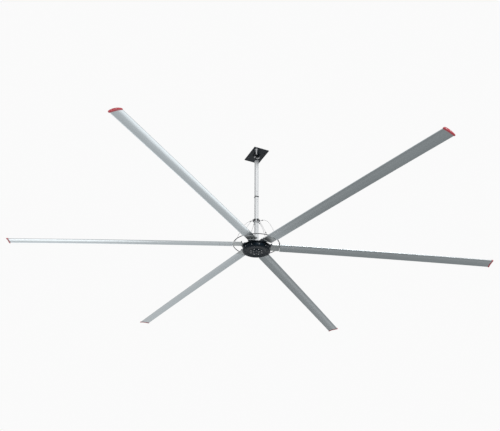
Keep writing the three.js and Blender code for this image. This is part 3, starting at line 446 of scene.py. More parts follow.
# %% [markdown]
# The blades' end caps are moulded red plastic: an even colour, a slightly textured satin skin and
# a faint cloudiness. The pieces inside the motor are bare metal that was rolled, wound or ground.
# Their grain is a direction more than a pattern, so the streaks alone draw it, stretched to suit.
# %% Plastic, copper and the metals of the motor


def moulded_plastic():
    finish = Finish("red plastic", (0.62, 0.060, 0.085), 0.38, 0.0)
    finish.grained(cloud=12.0, speckle=1500.0, contrast=0.22, spread=0.35, depth=0.0002, strength=0.4)
    return finish.dusty(0.2).material


def plain_metal(name, colour, roughness, metallic, across, along):
    finish = Finish(name, colour, roughness, metallic)
    streak = finish.effect(STREAKS, Across=across, Along=along, Contrast=0.35)
    finish.tone(streak.outputs["Tone"]).wear(streak.outputs["Tone"], 0.4)
    finish.bump(streak.outputs["Height"], 0.0001, 0.3)
    return finish.material


red_plastic = moulded_plastic()
laminated_steel = plain_metal("stacked laminations", (0.30, 0.31, 0.32), 0.5, 0.8, 8.0, 1400.0)
copper_wire = plain_metal("enamelled copper", (0.60, 0.23, 0.09), 0.35, 0.9, 500.0, 12.0)
magnet_black = plain_metal("coated magnet", (0.045, 0.045, 0.05), 0.55, 0.3, 60.0, 60.0)
bearing_steel = plain_metal("ground steel", (0.66, 0.67, 0.68), 0.2, 1.0, 6.0, 900.0)
print("inner metals", laminated_steel.name, copper_wire.name, magnet_black.name, bearing_steel.name)

# %% [markdown]
# Each carried piece of the construction model keeps its shape and gets its finish. The record names
# a slot for every piece, so one table from slot to finish serves them all, and the new pieces too.
# %% Finishes of the carried pieces
FINISHES = {
    "black_steel": black_steel,
    "black_aluminium": black_aluminium,
    "dark_steel": dark_steel,
    "grey_steel": grey_steel,
    "galvanised_steel": galvanised_steel,
    "zinc_steel": zinc_steel,
    "blade_aluminium": blade_aluminium,
    "red_plastic": red_plastic,
    "rope_steel": rope_steel,
    "laminated_steel": laminated_steel,
    "copper_wire": copper_wire,
    "magnet_black": magnet_black,
    "bearing_steel": bearing_steel,
}
for part in frame["record"]["subparts"]:
    for place in frame["nodes"][part["node"]].material_slots:
        place.material = FINISHES[part["material_slot"]]
print("finished", len(frame["nodes"]), "carried pieces")

# %% [markdown]
# Most new pieces are lofts: a skin over a row of equal loops, as an extrusion or a forging has. They
# could be modelled by hand. Made from named sizes, they fit their neighbours exactly. A shape is
# kept as points and faces while it is moved and joined to others. When it becomes a mesh, doubled
# points are merged and every face is turned outwards.
# %% Mesh helpers


def mesh_of(name, points, faces, sharp=35.0):
    """A closed mesh with outward faces, smooth where faces meet at less than the sharp angle."""
    mesh = bpy.data.meshes.new(name)
    mesh.from_pydata([tuple(point) for point in points], [], faces)
    work = bmesh.new()
    work.from_mesh(mesh)
    bmesh.ops.remove_doubles(work, verts=work.verts, dist=2e-6)
    bmesh.ops.recalc_face_normals(work, faces=work.faces)
    work.to_mesh(mesh)
    work.free()
    mesh.shade_smooth()
    mesh.set_sharp_from_angle(angle=math.radians(sharp))
    return mesh


def loft(loops, closed=False):
    """Points and faces of a skin over equal loops. Its ends are capped unless it closes on itself."""
    count = len(loops)
    size = len(loops[0])
    points = [Vector(point) for loop in loops for point in loop]
    faces = []
    for i in range(count if closed else count - 1):
        here = i * size
        there = (i + 1) % count * size
        faces += [(here + j, here + (j + 1) % size, there + (j + 1) % size, there + j)
                  for j in range(size)]
    if not closed:
        faces.append(tuple(reversed(range(size))))
        faces.append(tuple(range((count - 1) * size, count * size)))
    return points, faces


def merged(*shapes):
    """Several (points, faces) shapes as one."""
    points = []
    faces = []
    for shape_points, shape_faces in shapes:
        shift = len(points)
        points += shape_points
        faces += [tuple(index + shift for index in face) for face in shape_faces]
    return points, faces


def moved(shape, matrix):
    """The same shape somewhere else."""
    points, faces = shape
    return [matrix @ Vector(point) for point in points], faces


BOX_LOOPS = [[(x, y, z) for x, y in ((0, 0), (1, 0), (1, 1), (0, 1))] for z in (0, 1)]
print("a lofted box has", len(loft(BOX_LOOPS)[1]), "faces")

# %% [markdown]
# No real edge is quite sharp, and a rounded one catches a line of light. A Bevel modifier could
# round them all alike. Here a profile's corners are rounded before it is turned or lofted, so each
# can have its own radius. A turned piece is a profile swept round an axis, as on a lathe.
# %% Profiles


def eased(corners, radius, steps=4):
    """A closed profile whose corners are rounded. A corner may carry its own radius."""
    rounded = []
    count = len(corners)
    for i, corner in enumerate(corners):
        reach = corner[2] if len(corner) > 2 else radius
        here = Vector(corner[:2])
        before = Vector(corners[i - 1][:2]) - here
        after = Vector(corners[(i + 1) % count][:2]) - here
        reach = min(reach, before.length * 0.45, after.length * 0.45)
        if reach < 1e-6:
            rounded.append(here)
            continue
        first = here + before.normalized() * reach
        last = here + after.normalized() * reach
        for k in range(steps + 1):
            t = k / steps
            rounded.append((1 - t) ** 2 * first + 2 * t * (1 - t) * here + t * t * last)
    return rounded


def turned(profile, sides=96):
    """A closed profile of (radius, height) swept round +Z."""
    loops = [[(r * math.cos(angle), r * math.sin(angle), z) for r, z in profile]
             for angle in around(sides)]
    return loft(loops, closed=True)


print("a turned disc has", len(turned([(0, 0), (1, 0), (1, 0.1), (0, 0.1)])[1]), "faces")


def settle(piece, body, slot, *nodes):
    """Ties a piece to its body and hides the carried pieces that it stands for. The slot is not used."""
    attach(piece, body)
    if nodes:
        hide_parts(*nodes)


def put(name, shape, body, slot, *nodes, sharp=35.0):
    """A piece made of a (points, faces) shape, or of a mesh that is finished already."""
    mesh = shape if isinstance(shape, bpy.types.Mesh) else mesh_of(name, *shape, sharp=sharp)
    mesh.materials.append(FINISHES[slot])
    piece = bpy.data.objects.new(name, mesh)
    bpy.context.scene.collection.objects.link(piece)
    settle(piece, body, slot, *nodes)


# %% [markdown]
# The hub is a flat drum: a thick plate that carries the arms, the motor's shell, a dished cover
# below it and a dust cap at its centre. All are turned pieces. The carried ones have straight edges
# and 48 sides. A Bevel modifier could round their edges, but not the facets, so each is turned
# again here from its profile, with 128 sides. A profile's points are (radius, height) in metres,
# and a third number is a corner's own rounding.
# %% Hub, turned pieces
HUB_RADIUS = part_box("hub_plate")[1].x
PLATE_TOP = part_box("hub_plate")[1].z
PLATE_FOOT = ROOT - 45 * MM
COVER_FOOT, COVER_RIM = (corner.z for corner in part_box("lower_cover"))
COVER_WALL = 6 * MM
SEAT_WALL = 12 * MM
BEARING_FIT = 0.3 * MM
COVER_BANDS = (  # rings pressed into the cover: inner radius, outer radius, depth, width of slope
    (0.066, 0.076, -0.0028, 0.0025),
    (0.096, 0.137, 0.0022, 0.0030),
    (0.178, 0.191, -0.0030, 0.0030),
)


def plate_profile(hole=0.036, rebate=0.010, step=0.0012, shoulder=0.006):
    """The plate, with the upper bearing's seat standing down from it."""
    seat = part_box("upper_bearing")[1].x + BEARING_FIT
    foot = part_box("hub_plate")[0].z
    return [
        (hole, PLATE_TOP), (HUB_RADIUS - rebate, PLATE_TOP), (HUB_RADIUS - rebate, PLATE_TOP - step),
        (HUB_RADIUS, PLATE_TOP - step), (HUB_RADIUS, PLATE_FOOT), (seat + SEAT_WALL, PLATE_FOOT),
        (seat + SEAT_WALL, foot), (seat, foot), (seat, PLATE_TOP - shoulder),
        (hole, PLATE_TOP - shoulder),
    ]


def shell_profile(depth=0.025):
    low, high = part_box("motor_shell")
    return [(high.x - depth, low.z), (high.x, low.z), (high.x, high.z), (high.x - depth, high.z)]


def cover_profile(hole=0.030, corner=0.008, lip=0.0012):
    """The dished cover, with its pressed rings outside and the lower bearing's seat inside."""
    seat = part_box("lower_bearing")[1].x + BEARING_FIT
    seat_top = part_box("lower_bearing")[1].z
    floor = COVER_FOOT + COVER_WALL
    inside = HUB_RADIUS - COVER_WALL
    outside = [(hole, COVER_FOOT)]
    for inner, outer, depth, slope in COVER_BANDS:
        outside += [(inner, COVER_FOOT), (inner + slope, COVER_FOOT + depth),
                    (outer - slope, COVER_FOOT + depth), (outer, COVER_FOOT)]
    return outside + [
        (HUB_RADIUS - corner, COVER_FOOT, 0.006), (HUB_RADIUS, COVER_FOOT + corner, 0.006),
        (HUB_RADIUS, COVER_RIM - 0.012), (HUB_RADIUS - lip, COVER_RIM - 0.011),
        (HUB_RADIUS - lip, COVER_RIM), (inside, COVER_RIM), (inside, floor + 0.001),
        (inside - 0.001, floor), (seat + SEAT_WALL, floor), (seat + SEAT_WALL, seat_top),
        (seat, seat_top), (seat, floor), (hole, floor),
    ]


def dust_cap_profile(dish=0.0014):
    """A shallow cap, dished in its middle."""
    low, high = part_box("dust_cap")
    return [
        (0, low.z + dish, 0), (0.030, low.z + dish), (0.033, low.z), (high.x - 0.0035, low.z, 0.002),
        (high.x, low.z + 0.003, 0.002), (high.x, high.z), (0, high.z, 0),
    ]


for name, node, slot, profile, rounding in (
        ("hub_plate_turned", "hub_plate", "black_steel", plate_profile(), 0.0012),
        ("motor_shell_turned", "motor_shell", "black_steel", shell_profile(), 0.0015),
        ("lower_cover_turned", "lower_cover", "black_aluminium", cover_profile(), 0.0008),
        ("dust_cap_turned", "dust_cap", "black_aluminium", dust_cap_profile(), 0.0006)):
    put(name, turned(eased(profile, rounding), 128), "rotor", slot, node)

# %% [markdown]
# A blade is one aluminium extrusion about 3.3 m long. Its cambered section is hollow, with three
# ribs that make four cells, and the arm's tongue fills the widest. The section never changes, so
# the blade is its outline and its cells' outlines lofted along a gently drooping line. A solid loft
# would be simpler, but the open root shows beside the arm.
# %% Blade section
CHORD = 0.177
SPAR_SHARE = 0.28  # the share of the chord that lies over the arm
CAMBER = 0.014
AEROFOIL_THICK = 0.024
NOSE_EXTRA = 0.001  # metal added to each side at the nose, and at the tail
TAIL_EXTRA = 0.0025
BLADE_WALL = 0.0025
TIP_RADIUS = 3.650
BLADE_ROOT = 0.362
BLADE_END = 3.6297
PITCH = math.radians(8)
EVEN_DROOP = 0.084  # how far the tip hangs down: the share that grows evenly, and the rest
GROWING_DROOP = 0.033
CELL_SHARES = ((0.03, 0.0879), (0.1049, 0.4551), (0.4721, 0.6731), (0.69, 0.90))


def mean_height(share):
    """The camber line's height at a share of the chord."""
    return CAMBER * (4 * share * (1 - share) - 2 / 3)


def half_thickness(share):
    """The usual four-digit aerofoil's half thickness, with a blunter nose and tail."""
    bend = (0.2969 * math.sqrt(share) - 0.126 * share - 0.3516 * share ** 2
            + 0.2843 * share ** 3 - 0.1015 * share ** 4)
    return 5 * AEROFOIL_THICK * bend + NOSE_EXTRA * (1 - share) + TAIL_EXTRA * share


def section_loop(shares, outwards=0.0, forwards=0.0):
    """Chord and height of a closed outline: out along the underside and back along the top."""
    def side(share, sign):
        return ((share - SPAR_SHARE) * CHORD + (2 * share - 1) * forwards,
                mean_height(share) + sign * (half_thickness(share) + outwards))
    return [side(share, -1) for share in shares] + [side(share, 1) for share in reversed(shares)]


def outline(outwards=0.0, steps=34):
    """The blade's outside, with its points closer at the nose and the tail."""
    shares = [(1 - math.cos(math.pi * i / steps)) / 2 for i in range(steps + 1)]
    return section_loop(shares, outwards, outwards)


def cell(start, end, steps=8):
    shares = [start + (end - start) * i / steps for i in range(steps + 1)]
    return section_loop(shares, -BLADE_WALL)


heights = [height for chord, height in outline()]
print("blade outline", len(heights), "points,", round(max(heights) - min(heights), 4), "m high")

# %% [markdown]
# Every blade is the same section carried out to the tip, so one function makes it for any heading.
# It also writes each point's chord, height and radius into the attribute that the streaks read.
# %% Blades


def blade_point(radius, chord, height):
    """A point of the section at a radius, on a blade that points along +X."""
    share = radius / TIP_RADIUS
    droop = EVEN_DROOP * share + GROWING_DROOP * share * share
    return Vector((
        radius,
        chord * math.cos(PITCH) + height * math.sin(PITCH),
        ROOT - droop - chord * math.sin(PITCH) + height * math.cos(PITCH),
    ))


def blade_mesh(heading, spans=26):
    """A hollow blade. Both ends are filled between its outline and its cells."""
    radii = [BLADE_ROOT + (BLADE_END - BLADE_ROOT) * i / spans for i in range(spans + 1)]
    walls = [outline(), *(cell(*shares)[::-1] for shares in CELL_SHARES)]
    rims = [[Vector((chord, height, 0)) for chord, height in wall] for wall in walls]
    flat = [point for rim in rims for point in rim]
    size = len(flat)
    faces = []
    first = 0
    for rim in rims:
        for i in range(spans):
            for j in range(len(rim)):
                a = i * size + first + j
                b = i * size + first + (j + 1) % len(rim)
                faces.append((a, b, b + size, a + size))
        first += len(rim)
    filled = tessellate_polygon(rims)
    faces += [tuple(face) for face in filled]
    faces += [tuple(index + spans * size for index in face) for face in filled]
    points = [blade_point(radius, point.x, point.y) for radius in radii for point in flat]
    mesh = mesh_of("blade", points, faces, sharp=40)
    lay = mesh.attributes.new("lay", "FLOAT_VECTOR", "POINT")
    values = [(point.x, point.y, radius) for radius in radii for point in flat]
    lay.data.foreach_set("vector", np.array(values, np.float32).ravel())
    mesh.transform(faced(heading))
    return mesh


for number, heading in enumerate(headings, 1):
    put(f"blade_extrusion_{number}", blade_mesh(heading), "rotor", "blade_aluminium",
        f"blade_{number}")

# %% [markdown]
# A moulded cap closes each blade's end. It stands a few millimetres proud all round, with a rounded
# outer edge and a groove near the blade. The blade's outline, let out a little, is its outline too,
# so the cap is a loft of that loop, drawn in where the moulding is. Its flat face has a soft rim.
# %% End caps
CAP_PROUD = 0.004
CAP_HEIGHT = 0.032
CAP_EDGE = 0.004  # the radius of its outer edge
CAP_INNER = TIP_RADIUS - 0.020
CAP_GROOVE = (  # how far out from the blade's end, and how far drawn in
    (0.0, 0.0012), (0.0012, 0.0), (0.006, 0.0), (0.0068, 0.0007), (0.0078, 0.0007), (0.0086, 0.0),
)


def cap_mesh(heading):
    loop = outline(CAP_PROUD)
    middle = (0.5 - SPAR_SHARE) * CHORD

    def ring_at(radius, inset):
        wide = 1 - 2 * inset / CHORD
        high = 1 - 2 * inset / CAP_HEIGHT
        return [blade_point(radius, middle + (chord - middle) * wide, height * high)
                for chord, height in loop]

    loops = [ring_at(CAP_INNER + out, inset) for out, inset in CAP_GROOVE]
    for i in range(6):
        angle = math.pi / 2 * i / 5
        loops.append(ring_at(TIP_RADIUS - CAP_EDGE * (1 - math.sin(angle)),
                             CAP_EDGE * (1 - math.cos(angle))))
    loops.append(ring_at(TIP_RADIUS - 0.0008, 0.0062))
    mesh = mesh_of("end cap", *loft(loops), sharp=40)
    mesh.transform(faced(heading))
    return mesh


for number, heading in enumerate(headings, 1):
    put(f"end_cap_{number}", cap_mesh(heading), "rotor", "red_plastic", f"blade_cap_{number}")

# %% [markdown]
# Bolts and screws repeat all over the fan. Modelled one by one they would never match, so one
# detailed head of each kind is made once, seated at the origin and pointing up +Z: a hexagon head
# on its washer, and a rounded socket screw. A few dozen points round each are enough at this size.
# %% Fastener heads
TURN = 24  # points round a head


def circle(radius, height):
    return [(radius * math.cos(angle), radius * math.sin(angle), height) for angle in around(TURN)]


def hexagon(across, height, drop=0.0):
    """A six-sided loop. Its corners may drop, as a chamfer lowers them."""
    points = []
    for angle in around(TURN):
        reach = across / 2 / math.cos(angle % (math.pi / 3) - math.pi / 6)
        fall = (reach - across / 2) * drop
        points.append((reach * math.cos(angle), reach * math.sin(angle), height - fall))
    return points


def hexagon_head(diameter, washer=2.5 * MM):
    """A bolt head on its washer."""
    across = 1.55 * diameter
    disc = 1.25 * diameter
    edge = 0.4 * MM
    top = washer + 0.65 * diameter
    return loft([
        circle(disc - edge, 0), circle(disc, edge), circle(disc, washer - edge),
        circle(disc - edge, washer), circle(0.51 * across, washer),
        circle(0.48 * across, washer + 0.3 * MM), hexagon(across, washer + 0.5 * MM),
        hexagon(across, top, 0.6), circle(0.475 * across, top), circle(0.36 * across, top - 0.3 * MM),
    ])


def socket_screw(diameter):
    """A rounded head with a hexagon socket."""
    reach = 0.95 * diameter
    height = 0.55 * diameter
    loops = [circle(reach * 0.97, 0), circle(reach, height * 0.15)]
    for i in range(1, 6):
        angle = math.pi / 2 * i / 6
        loops.append(circle(reach * math.cos(angle) ** 0.6, height * (0.15 + 0.85 * math.sin(angle))))
    loops += [circle(0.36 * diameter, height), hexagon(0.58 * diameter, height - 0.2 * MM)]
    loops += [hexagon(0.56 * diameter, height * 0.45), circle(0.15 * diameter, height * 0.4)]
    return loft(loops)


def template(name, shape):
    """An object that only serves Geometry Nodes as a pattern, so it isn't put in the scene."""
    return bpy.data.objects.new(name, mesh_of(name, *shape, sharp=30))


hexagon_m12 = template("hexagon head M12", hexagon_head(12 * MM))
hexagon_m10 = template("hexagon head M10", hexagon_head(10 * MM, 2 * MM))
hexagon_m8 = template("hexagon head M8", hexagon_head(8 * MM, 1.6 * MM))
socket_m8 = template("socket screw M8", socket_screw(8 * MM))
socket_m6 = template("socket screw M6", socket_screw(6 * MM))
socket_m5 = template("socket screw M5", socket_screw(5 * MM))
print("heads", [len(head.data.polygons) for head in (hexagon_m12, hexagon_m8, socket_m6)], "faces")

# %% [markdown]
# Where the fasteners go is a rule: a small pattern of seats on one arm, repeated round the axis. An
# Array modifier could repeat the heads, but not stand each one square on its own surface. So a
# Geometry Nodes tree copies the seats round Z, stands a head on each seat along its own axis, and
# gives each head a random turn from a fixed seed, as an assembler would.
# %% Fastener tree


def finish_tree(tree, given, result, geometry):
    """Ends a tree: real geometry in one material."""
    real = add(tree, "GeometryNodeRealizeInstances", {0: geometry})
    painted = add(tree, "GeometryNodeSetMaterial", {
        "Geometry": real.outputs[0], "Material": given.outputs["Material"]})
    tree.links.new(painted.outputs[0], result.inputs[0])


def build_fastener_tree():
    tree, given, result = new_group("fasteners round the axis", "GeometryNodeTree", {
        "Seats": (GEOMETRY, None),
        "Head": ("NodeSocketObject", None),
        "Count": (INTEGER, 6),
        "First Heading": (FLOAT, 0.0),
        "Random Turn": (FLOAT, math.tau),
        "Seed": (INTEGER, 1),
        "Material": ("NodeSocketMaterial", None),
    }, {"Fasteners": GEOMETRY})
    step = reckoned(tree, "DIVIDE", math.tau, given.outputs["Count"])
    index = add(tree, "GeometryNodeInputIndex")
    heading = reckoned(tree, "MULTIPLY_ADD", index.outputs[0], step, given.outputs["First Heading"])
    middle = add(tree, "GeometryNodeMeshLine", {
        "Count": given.outputs["Count"], "Offset": (0, 0, 0)})
    marked = add(tree, "GeometryNodeStoreNamedAttribute", {
        "Geometry": middle.outputs[0], "Name": "heading", "Value": heading})
    turn = add(tree, "ShaderNodeCombineXYZ", {"Z": heading})
    copies = add(tree, "GeometryNodeInstanceOnPoints", {
        "Points": marked.outputs[0], "Instance": given.outputs["Seats"],
        "Rotation": turn.outputs[0]})
    seats = add(tree, "GeometryNodeRealizeInstances", {0: copies.outputs[0]})
    axis = add(tree, "GeometryNodeInputNamedAttribute", {"Name": "axis"}, data_type="FLOAT_VECTOR")
    about = add(tree, "GeometryNodeInputNamedAttribute", {"Name": "heading"}, data_type="FLOAT")
    pointed = add(tree, "ShaderNodeVectorRotate", {
        "Vector": axis.outputs[0], "Angle": about.outputs[0]}, rotation_type="Z_AXIS")
    stand = add(tree, "FunctionNodeAlignRotationToVector", {"Vector": pointed.outputs[0]}, axis="Z")
    chance = add(tree, "FunctionNodeRandomValue", {
        2: 0.0, 3: given.outputs["Random Turn"], "Seed": given.outputs["Seed"]}, data_type="FLOAT")
    whole = reckoned(tree, "ADD", about.outputs[0], chance.outputs[1])
    spin = add(tree, "FunctionNodeAxisAngleToRotation", {"Axis": (0, 0, 1), "Angle": whole})
    stance = add(tree, "FunctionNodeRotateRotation", {
        0: stand.outputs[0], 1: spin.outputs[0]}, rotation_space="LOCAL")
    head = add(tree, "GeometryNodeObjectInfo", {"Object": given.outputs["Head"]})
    heads = add(tree, "GeometryNodeInstanceOnPoints", {
        "Points": seats.outputs[0], "Instance": head.outputs["Geometry"],
        "Rotation": stance.outputs[0]})
    finish_tree(tree, given, result, heads.outputs[0])
    return tree


FASTENER_TREE = build_fastener_tree()
print("fastener tree has", len(FASTENER_TREE.nodes), "nodes")

# %% [markdown]
# A tree works through a modifier on a carrier mesh, here a few loose points. The modifier could stay on, but the
# finished fan is made of plain meshes. So its result is taken at once, as one mesh, and the modifier goes before
# the piece joins its body.
# %% Growing a mesh from a tree
seeds = iter(range(1, 1000))
EACH_ARM = {"count": BLADE_COUNT, "first_heading": FIRST_HEADING}


def grown(name, carrier, tree, values):
    """The plain mesh that a tree makes of a carrier mesh."""
    holder = bpy.data.objects.new(name, carrier)
    modifier = holder.modifiers.new(name, "NODES")
    modifier.node_group = tree
    sockets = {item.name: item.identifier for item in tree.interface.items_tree
               if item.item_type == "SOCKET" and item.in_out == "INPUT"}
    for label, value in values.items():
        modifier[sockets[label]] = value
    bpy.context.scene.collection.objects.link(holder)
    graph = bpy.context.evaluated_depsgraph_get()
    mesh = bpy.data.meshes.new_from_object(
        holder.evaluated_get(graph), preserve_all_data_layers=True, depsgraph=graph)
    holder.modifiers.remove(modifier)
    holder.data = mesh
    return holder


def fasten(name, body, slot, head, seats, count=1, first_heading=0.0, random_turn=math.tau):
    """Stands a head on each (place, axis), repeated round the axis of the fan."""
    carrier = bpy.data.meshes.new(name)
    carrier.from_pydata([tuple(place) for place, axis in seats], [], [])
    axes = carrier.attributes.new("axis", "FLOAT_VECTOR", "POINT")
    axes.data.foreach_set("vector", np.array([tuple(axis) for place, axis in seats]).ravel())
    piece = grown(name, carrier, FASTENER_TREE, {
        "Head": head,
        "Count": count,
        "First Heading": first_heading,
        "Random Turn": random_turn,
        "Seed": next(seeds),
        "Material": FINISHES[slot],
    })
    settle(piece, body, slot)


print("patterns that repeat on every arm:", EACH_ARM)

# %% [markdown]
# The cover is held by a ring of screws near its rim and one near its middle, and by screws through
# its side wall. The dust cap has its own six. Each ring is one seat that the tree repeats, so a
# ring's number of screws is a single value.
# %% Cover screws
DOWN = Vector((0, 0, -1))
UP = Vector((0, 0, 1))
OUT = Vector((1, 0, 0))

SUNK = 0.2 * MM  # how deep a head on a round wall sits in it

for name, slot, head, place, axis, count, first_degrees in (
        ("cover_outer_screws", "dark_steel", hexagon_m8, (0.160, 0, COVER_FOOT), DOWN, 12, 1),
        ("cover_inner_screws", "zinc_steel", socket_m8, (0.087, 0, COVER_FOOT), DOWN, 8, -2),
        ("cover_side_screws", "zinc_steel", socket_m6,
         (HUB_RADIUS - SUNK, 0, COVER_FOOT + 0.025), OUT, 12, 16),
        ("dust_cap_screws", "zinc_steel", socket_m5,
         (0.048, 0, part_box("dust_cap")[0].z), DOWN, 6, 10)):
    fasten(name, "rotor", slot, head, [(place, axis)], count, math.radians(first_degrees))

# %% [markdown]
# Between the hub plate and the cover, the motor's shell is finned, so that it sheds its heat. The
# fins could be cut into the shell's own profile, but they stand round it, not along it. One rounded
# fin is repeated round the shell by the same tree, with no random turn.
# %% Motor fins
FIN_COUNT = 72
FIN_GAP = 0.6 * MM  # between a fin's ends and the plates
FIN_HALF = 1.2 * MM
FIN_ROOT = 2 * MM  # how far a fin reaches into the shell
SHELL_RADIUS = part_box("motor_shell")[1].x


def fin_shape():
    """One fin, thinner at its two ends."""
    reach = HUB_RADIUS - 0.005 - SHELL_RADIUS
    height = PLATE_FOOT - COVER_RIM - 2 * FIN_GAP
    flat = eased([(-FIN_ROOT, -FIN_HALF), (reach, -FIN_HALF), (reach, FIN_HALF), (-FIN_ROOT, FIN_HALF)],
                 0.0008, 2)
    stations = ((0.0, 0.6), (0.0012, 1.0), (height - 0.0012, 1.0), (height, 0.6))
    return loft([[(x, y * share, z) for x, y in flat] for z, share in stations])


fasten("motor_fins", "rotor", "black_steel", template("motor fin", fin_shape()),
       [((SHELL_RADIUS, 0, COVER_RIM + FIN_GAP), UP)], FIN_COUNT, random_turn=0.0)

# %% [markdown]
# Each arm sits in a black cast shoe on the hub plate. The shoe clamps the arm's level block from above, and past
# the hub's rim it widens and tilts with the arm. There its black is partly painted shade: it stands in for the
# shade at the blades' roots beside the hub. A cube pushed into shape would do for one shoe. A loft of eased
# rectangles, each with its own place, width and heights, says how the casting changes along its length, and one of
# it serves all six.
# %% Arm shoes, partly painted shade at the blades' roots
BLOCK_TOP = ROOT - 0.005
SHOE_TOP = BLOCK_TOP + 0.020
BROAD_MIDDLE = (0.5 - SPAR_SHARE) * CHORD
LEVEL_STATIONS = (  # radius, half width and height over the arm's block
    (0.109, 0.032, -0.002), (0.112, 0.0355, 0.012), (0.117, 0.0365, 0.020), (0.150, 0.0365, 0.020),
    (0.186, 0.0365, 0.020), (0.197, 0.0365, 0.010), (0.2115, 0.0365, 0.0035),
)
PITCHED_STATIONS = (  # radius, half width and half height, in line with the blade
    (0.229, 0.0825, 0.0095), (0.2385, 0.0825, 0.0095), (0.2395, 0.0815, 0.0085),
)


def shoe_rectangle(half_width, low, high):
    return eased([(-half_width, low), (half_width, low), (half_width, high, 0.004),
                  (-half_width, high, 0.004)], 0.0015)


def shoe_shape():
    loops = []
    for radius, half_width, height in LEVEL_STATIONS:
        flat = shoe_rectangle(half_width, PLATE_TOP + 0.0003, BLOCK_TOP + height)
        loops.append([(radius, y, z) for y, z in flat])
    for radius, half_width, half_height in PITCHED_STATIONS:
        flat = shoe_rectangle(half_width, -half_height, half_height)
        loops.append([blade_point(radius, BROAD_MIDDLE + y, z) for y, z in flat])
    return loft(loops)


# Past the hub's rim the shoes' black is partly painted shade: it stands in for the shade at the blades' roots
# beside the hub.
put("arm_shoes", merged(*(moved(shoe_shape(), faced(heading)) for heading in headings)), "rotor",
    "black_steel", sharp=30)
fasten("arm_clamp_bolts", "rotor", "zinc_steel", hexagon_m12,
       [((radius, y, SHOE_TOP), UP) for radius in (0.133, 0.172) for y in (-0.018, 0.018)],
       **EACH_ARM)
print("shoes reach", round(SHOE_TOP - ROOT, 4), "m over the root plane")

# %% [markdown]
# The arm is bolted to its shoe, and the blade to the arm's tongue, from above and from below. These
# surfaces are pitched and curved. A seat is therefore a point of the blade's own section with the
# way that the surface faces there, and every head stands square on it.
# %% Arm and blade bolts
ARM_HALF = 0.006  # half the thickness of an arm's broad length
SHOE_HALF = PITCHED_STATIONS[0][2]
SHOE_CHORDS = (-0.026, 0.017, 0.060, 0.103)
ARM_CHORDS = (0.0, 0.078)
SPAR_SEATS = [(radius, share) for radius in (0.40, 0.48, 0.56) for share in (0.19, 0.37)]
CAP_SEATS = ((-0.012, 0.002), (0.052, 0.005))  # chord and height on the end cap's face
NORMAL_STEP = 0.01  # how far out, or along the chord, a surface is felt for its direction


def arm_seat(radius, chord, side, reach=ARM_HALF):
    """A seat on an arm's top or underside, with the way that it faces."""
    place = blade_point(radius, chord, side * reach)
    return place, blade_point(radius, chord, side * (reach + NORMAL_STEP)) - place


def blade_seat(radius, share, side):
    """A seat on the blade's top or underside at a share of its chord."""
    def surface(at):
        return Vector(((at - SPAR_SHARE) * CHORD, mean_height(at) + side * half_thickness(at)))
    along = surface(share + NORMAL_STEP) - surface(share - NORMAL_STEP)
    place = blade_point(radius, *surface(share))
    beyond = surface(share) + side * Vector((-along.y, along.x))
    return place, blade_point(radius, *beyond) - place


for name, slot, head, seats in (
        ("shoe_lower_bolts", "zinc_steel", hexagon_m8,
         [arm_seat(0.2325, chord, -1, SHOE_HALF) for chord in SHOE_CHORDS]),
        ("shoe_upper_bolts", "zinc_steel", hexagon_m8,
         [arm_seat(0.2325, chord, 1, SHOE_HALF) for chord in SHOE_CHORDS]),
        ("arm_lower_bolts", "grey_steel", hexagon_m8,
         [arm_seat(0.335, chord, -1) for chord in ARM_CHORDS]),
        ("arm_upper_bolts", "grey_steel", hexagon_m8,
         [arm_seat(0.300, chord, 1) for chord in ARM_CHORDS]),
        ("blade_lower_screws", "zinc_steel", socket_m8,
         [blade_seat(radius, share, -1) for radius, share in SPAR_SEATS]),
        ("blade_upper_screws", "zinc_steel", hexagon_m8,
         [blade_seat(radius, share, 1) for radius, share in SPAR_SEATS]),
        ("end_cap_screws", "zinc_steel", socket_m5,
         [((TIP_RADIUS - 0.0016, *blade_point(TIP_RADIUS, *seat)[1:]), OUT) for seat in CAP_SEATS])):
    fasten(name, "rotor", slot, head, seats, **EACH_ARM)

# %% [markdown]
# The safety ring is a steel rod bent to a circle, which would catch a loose blade. It and the ropes
# are each a section swept along a path. A curve with a round bevel would give both, but a rope shows
# its strands. One tree sweeps both: for a rope it pinches the section into strands and twists it by
# one turn for each lay, and for a rod it leaves the section round.
# %% Sweep tree


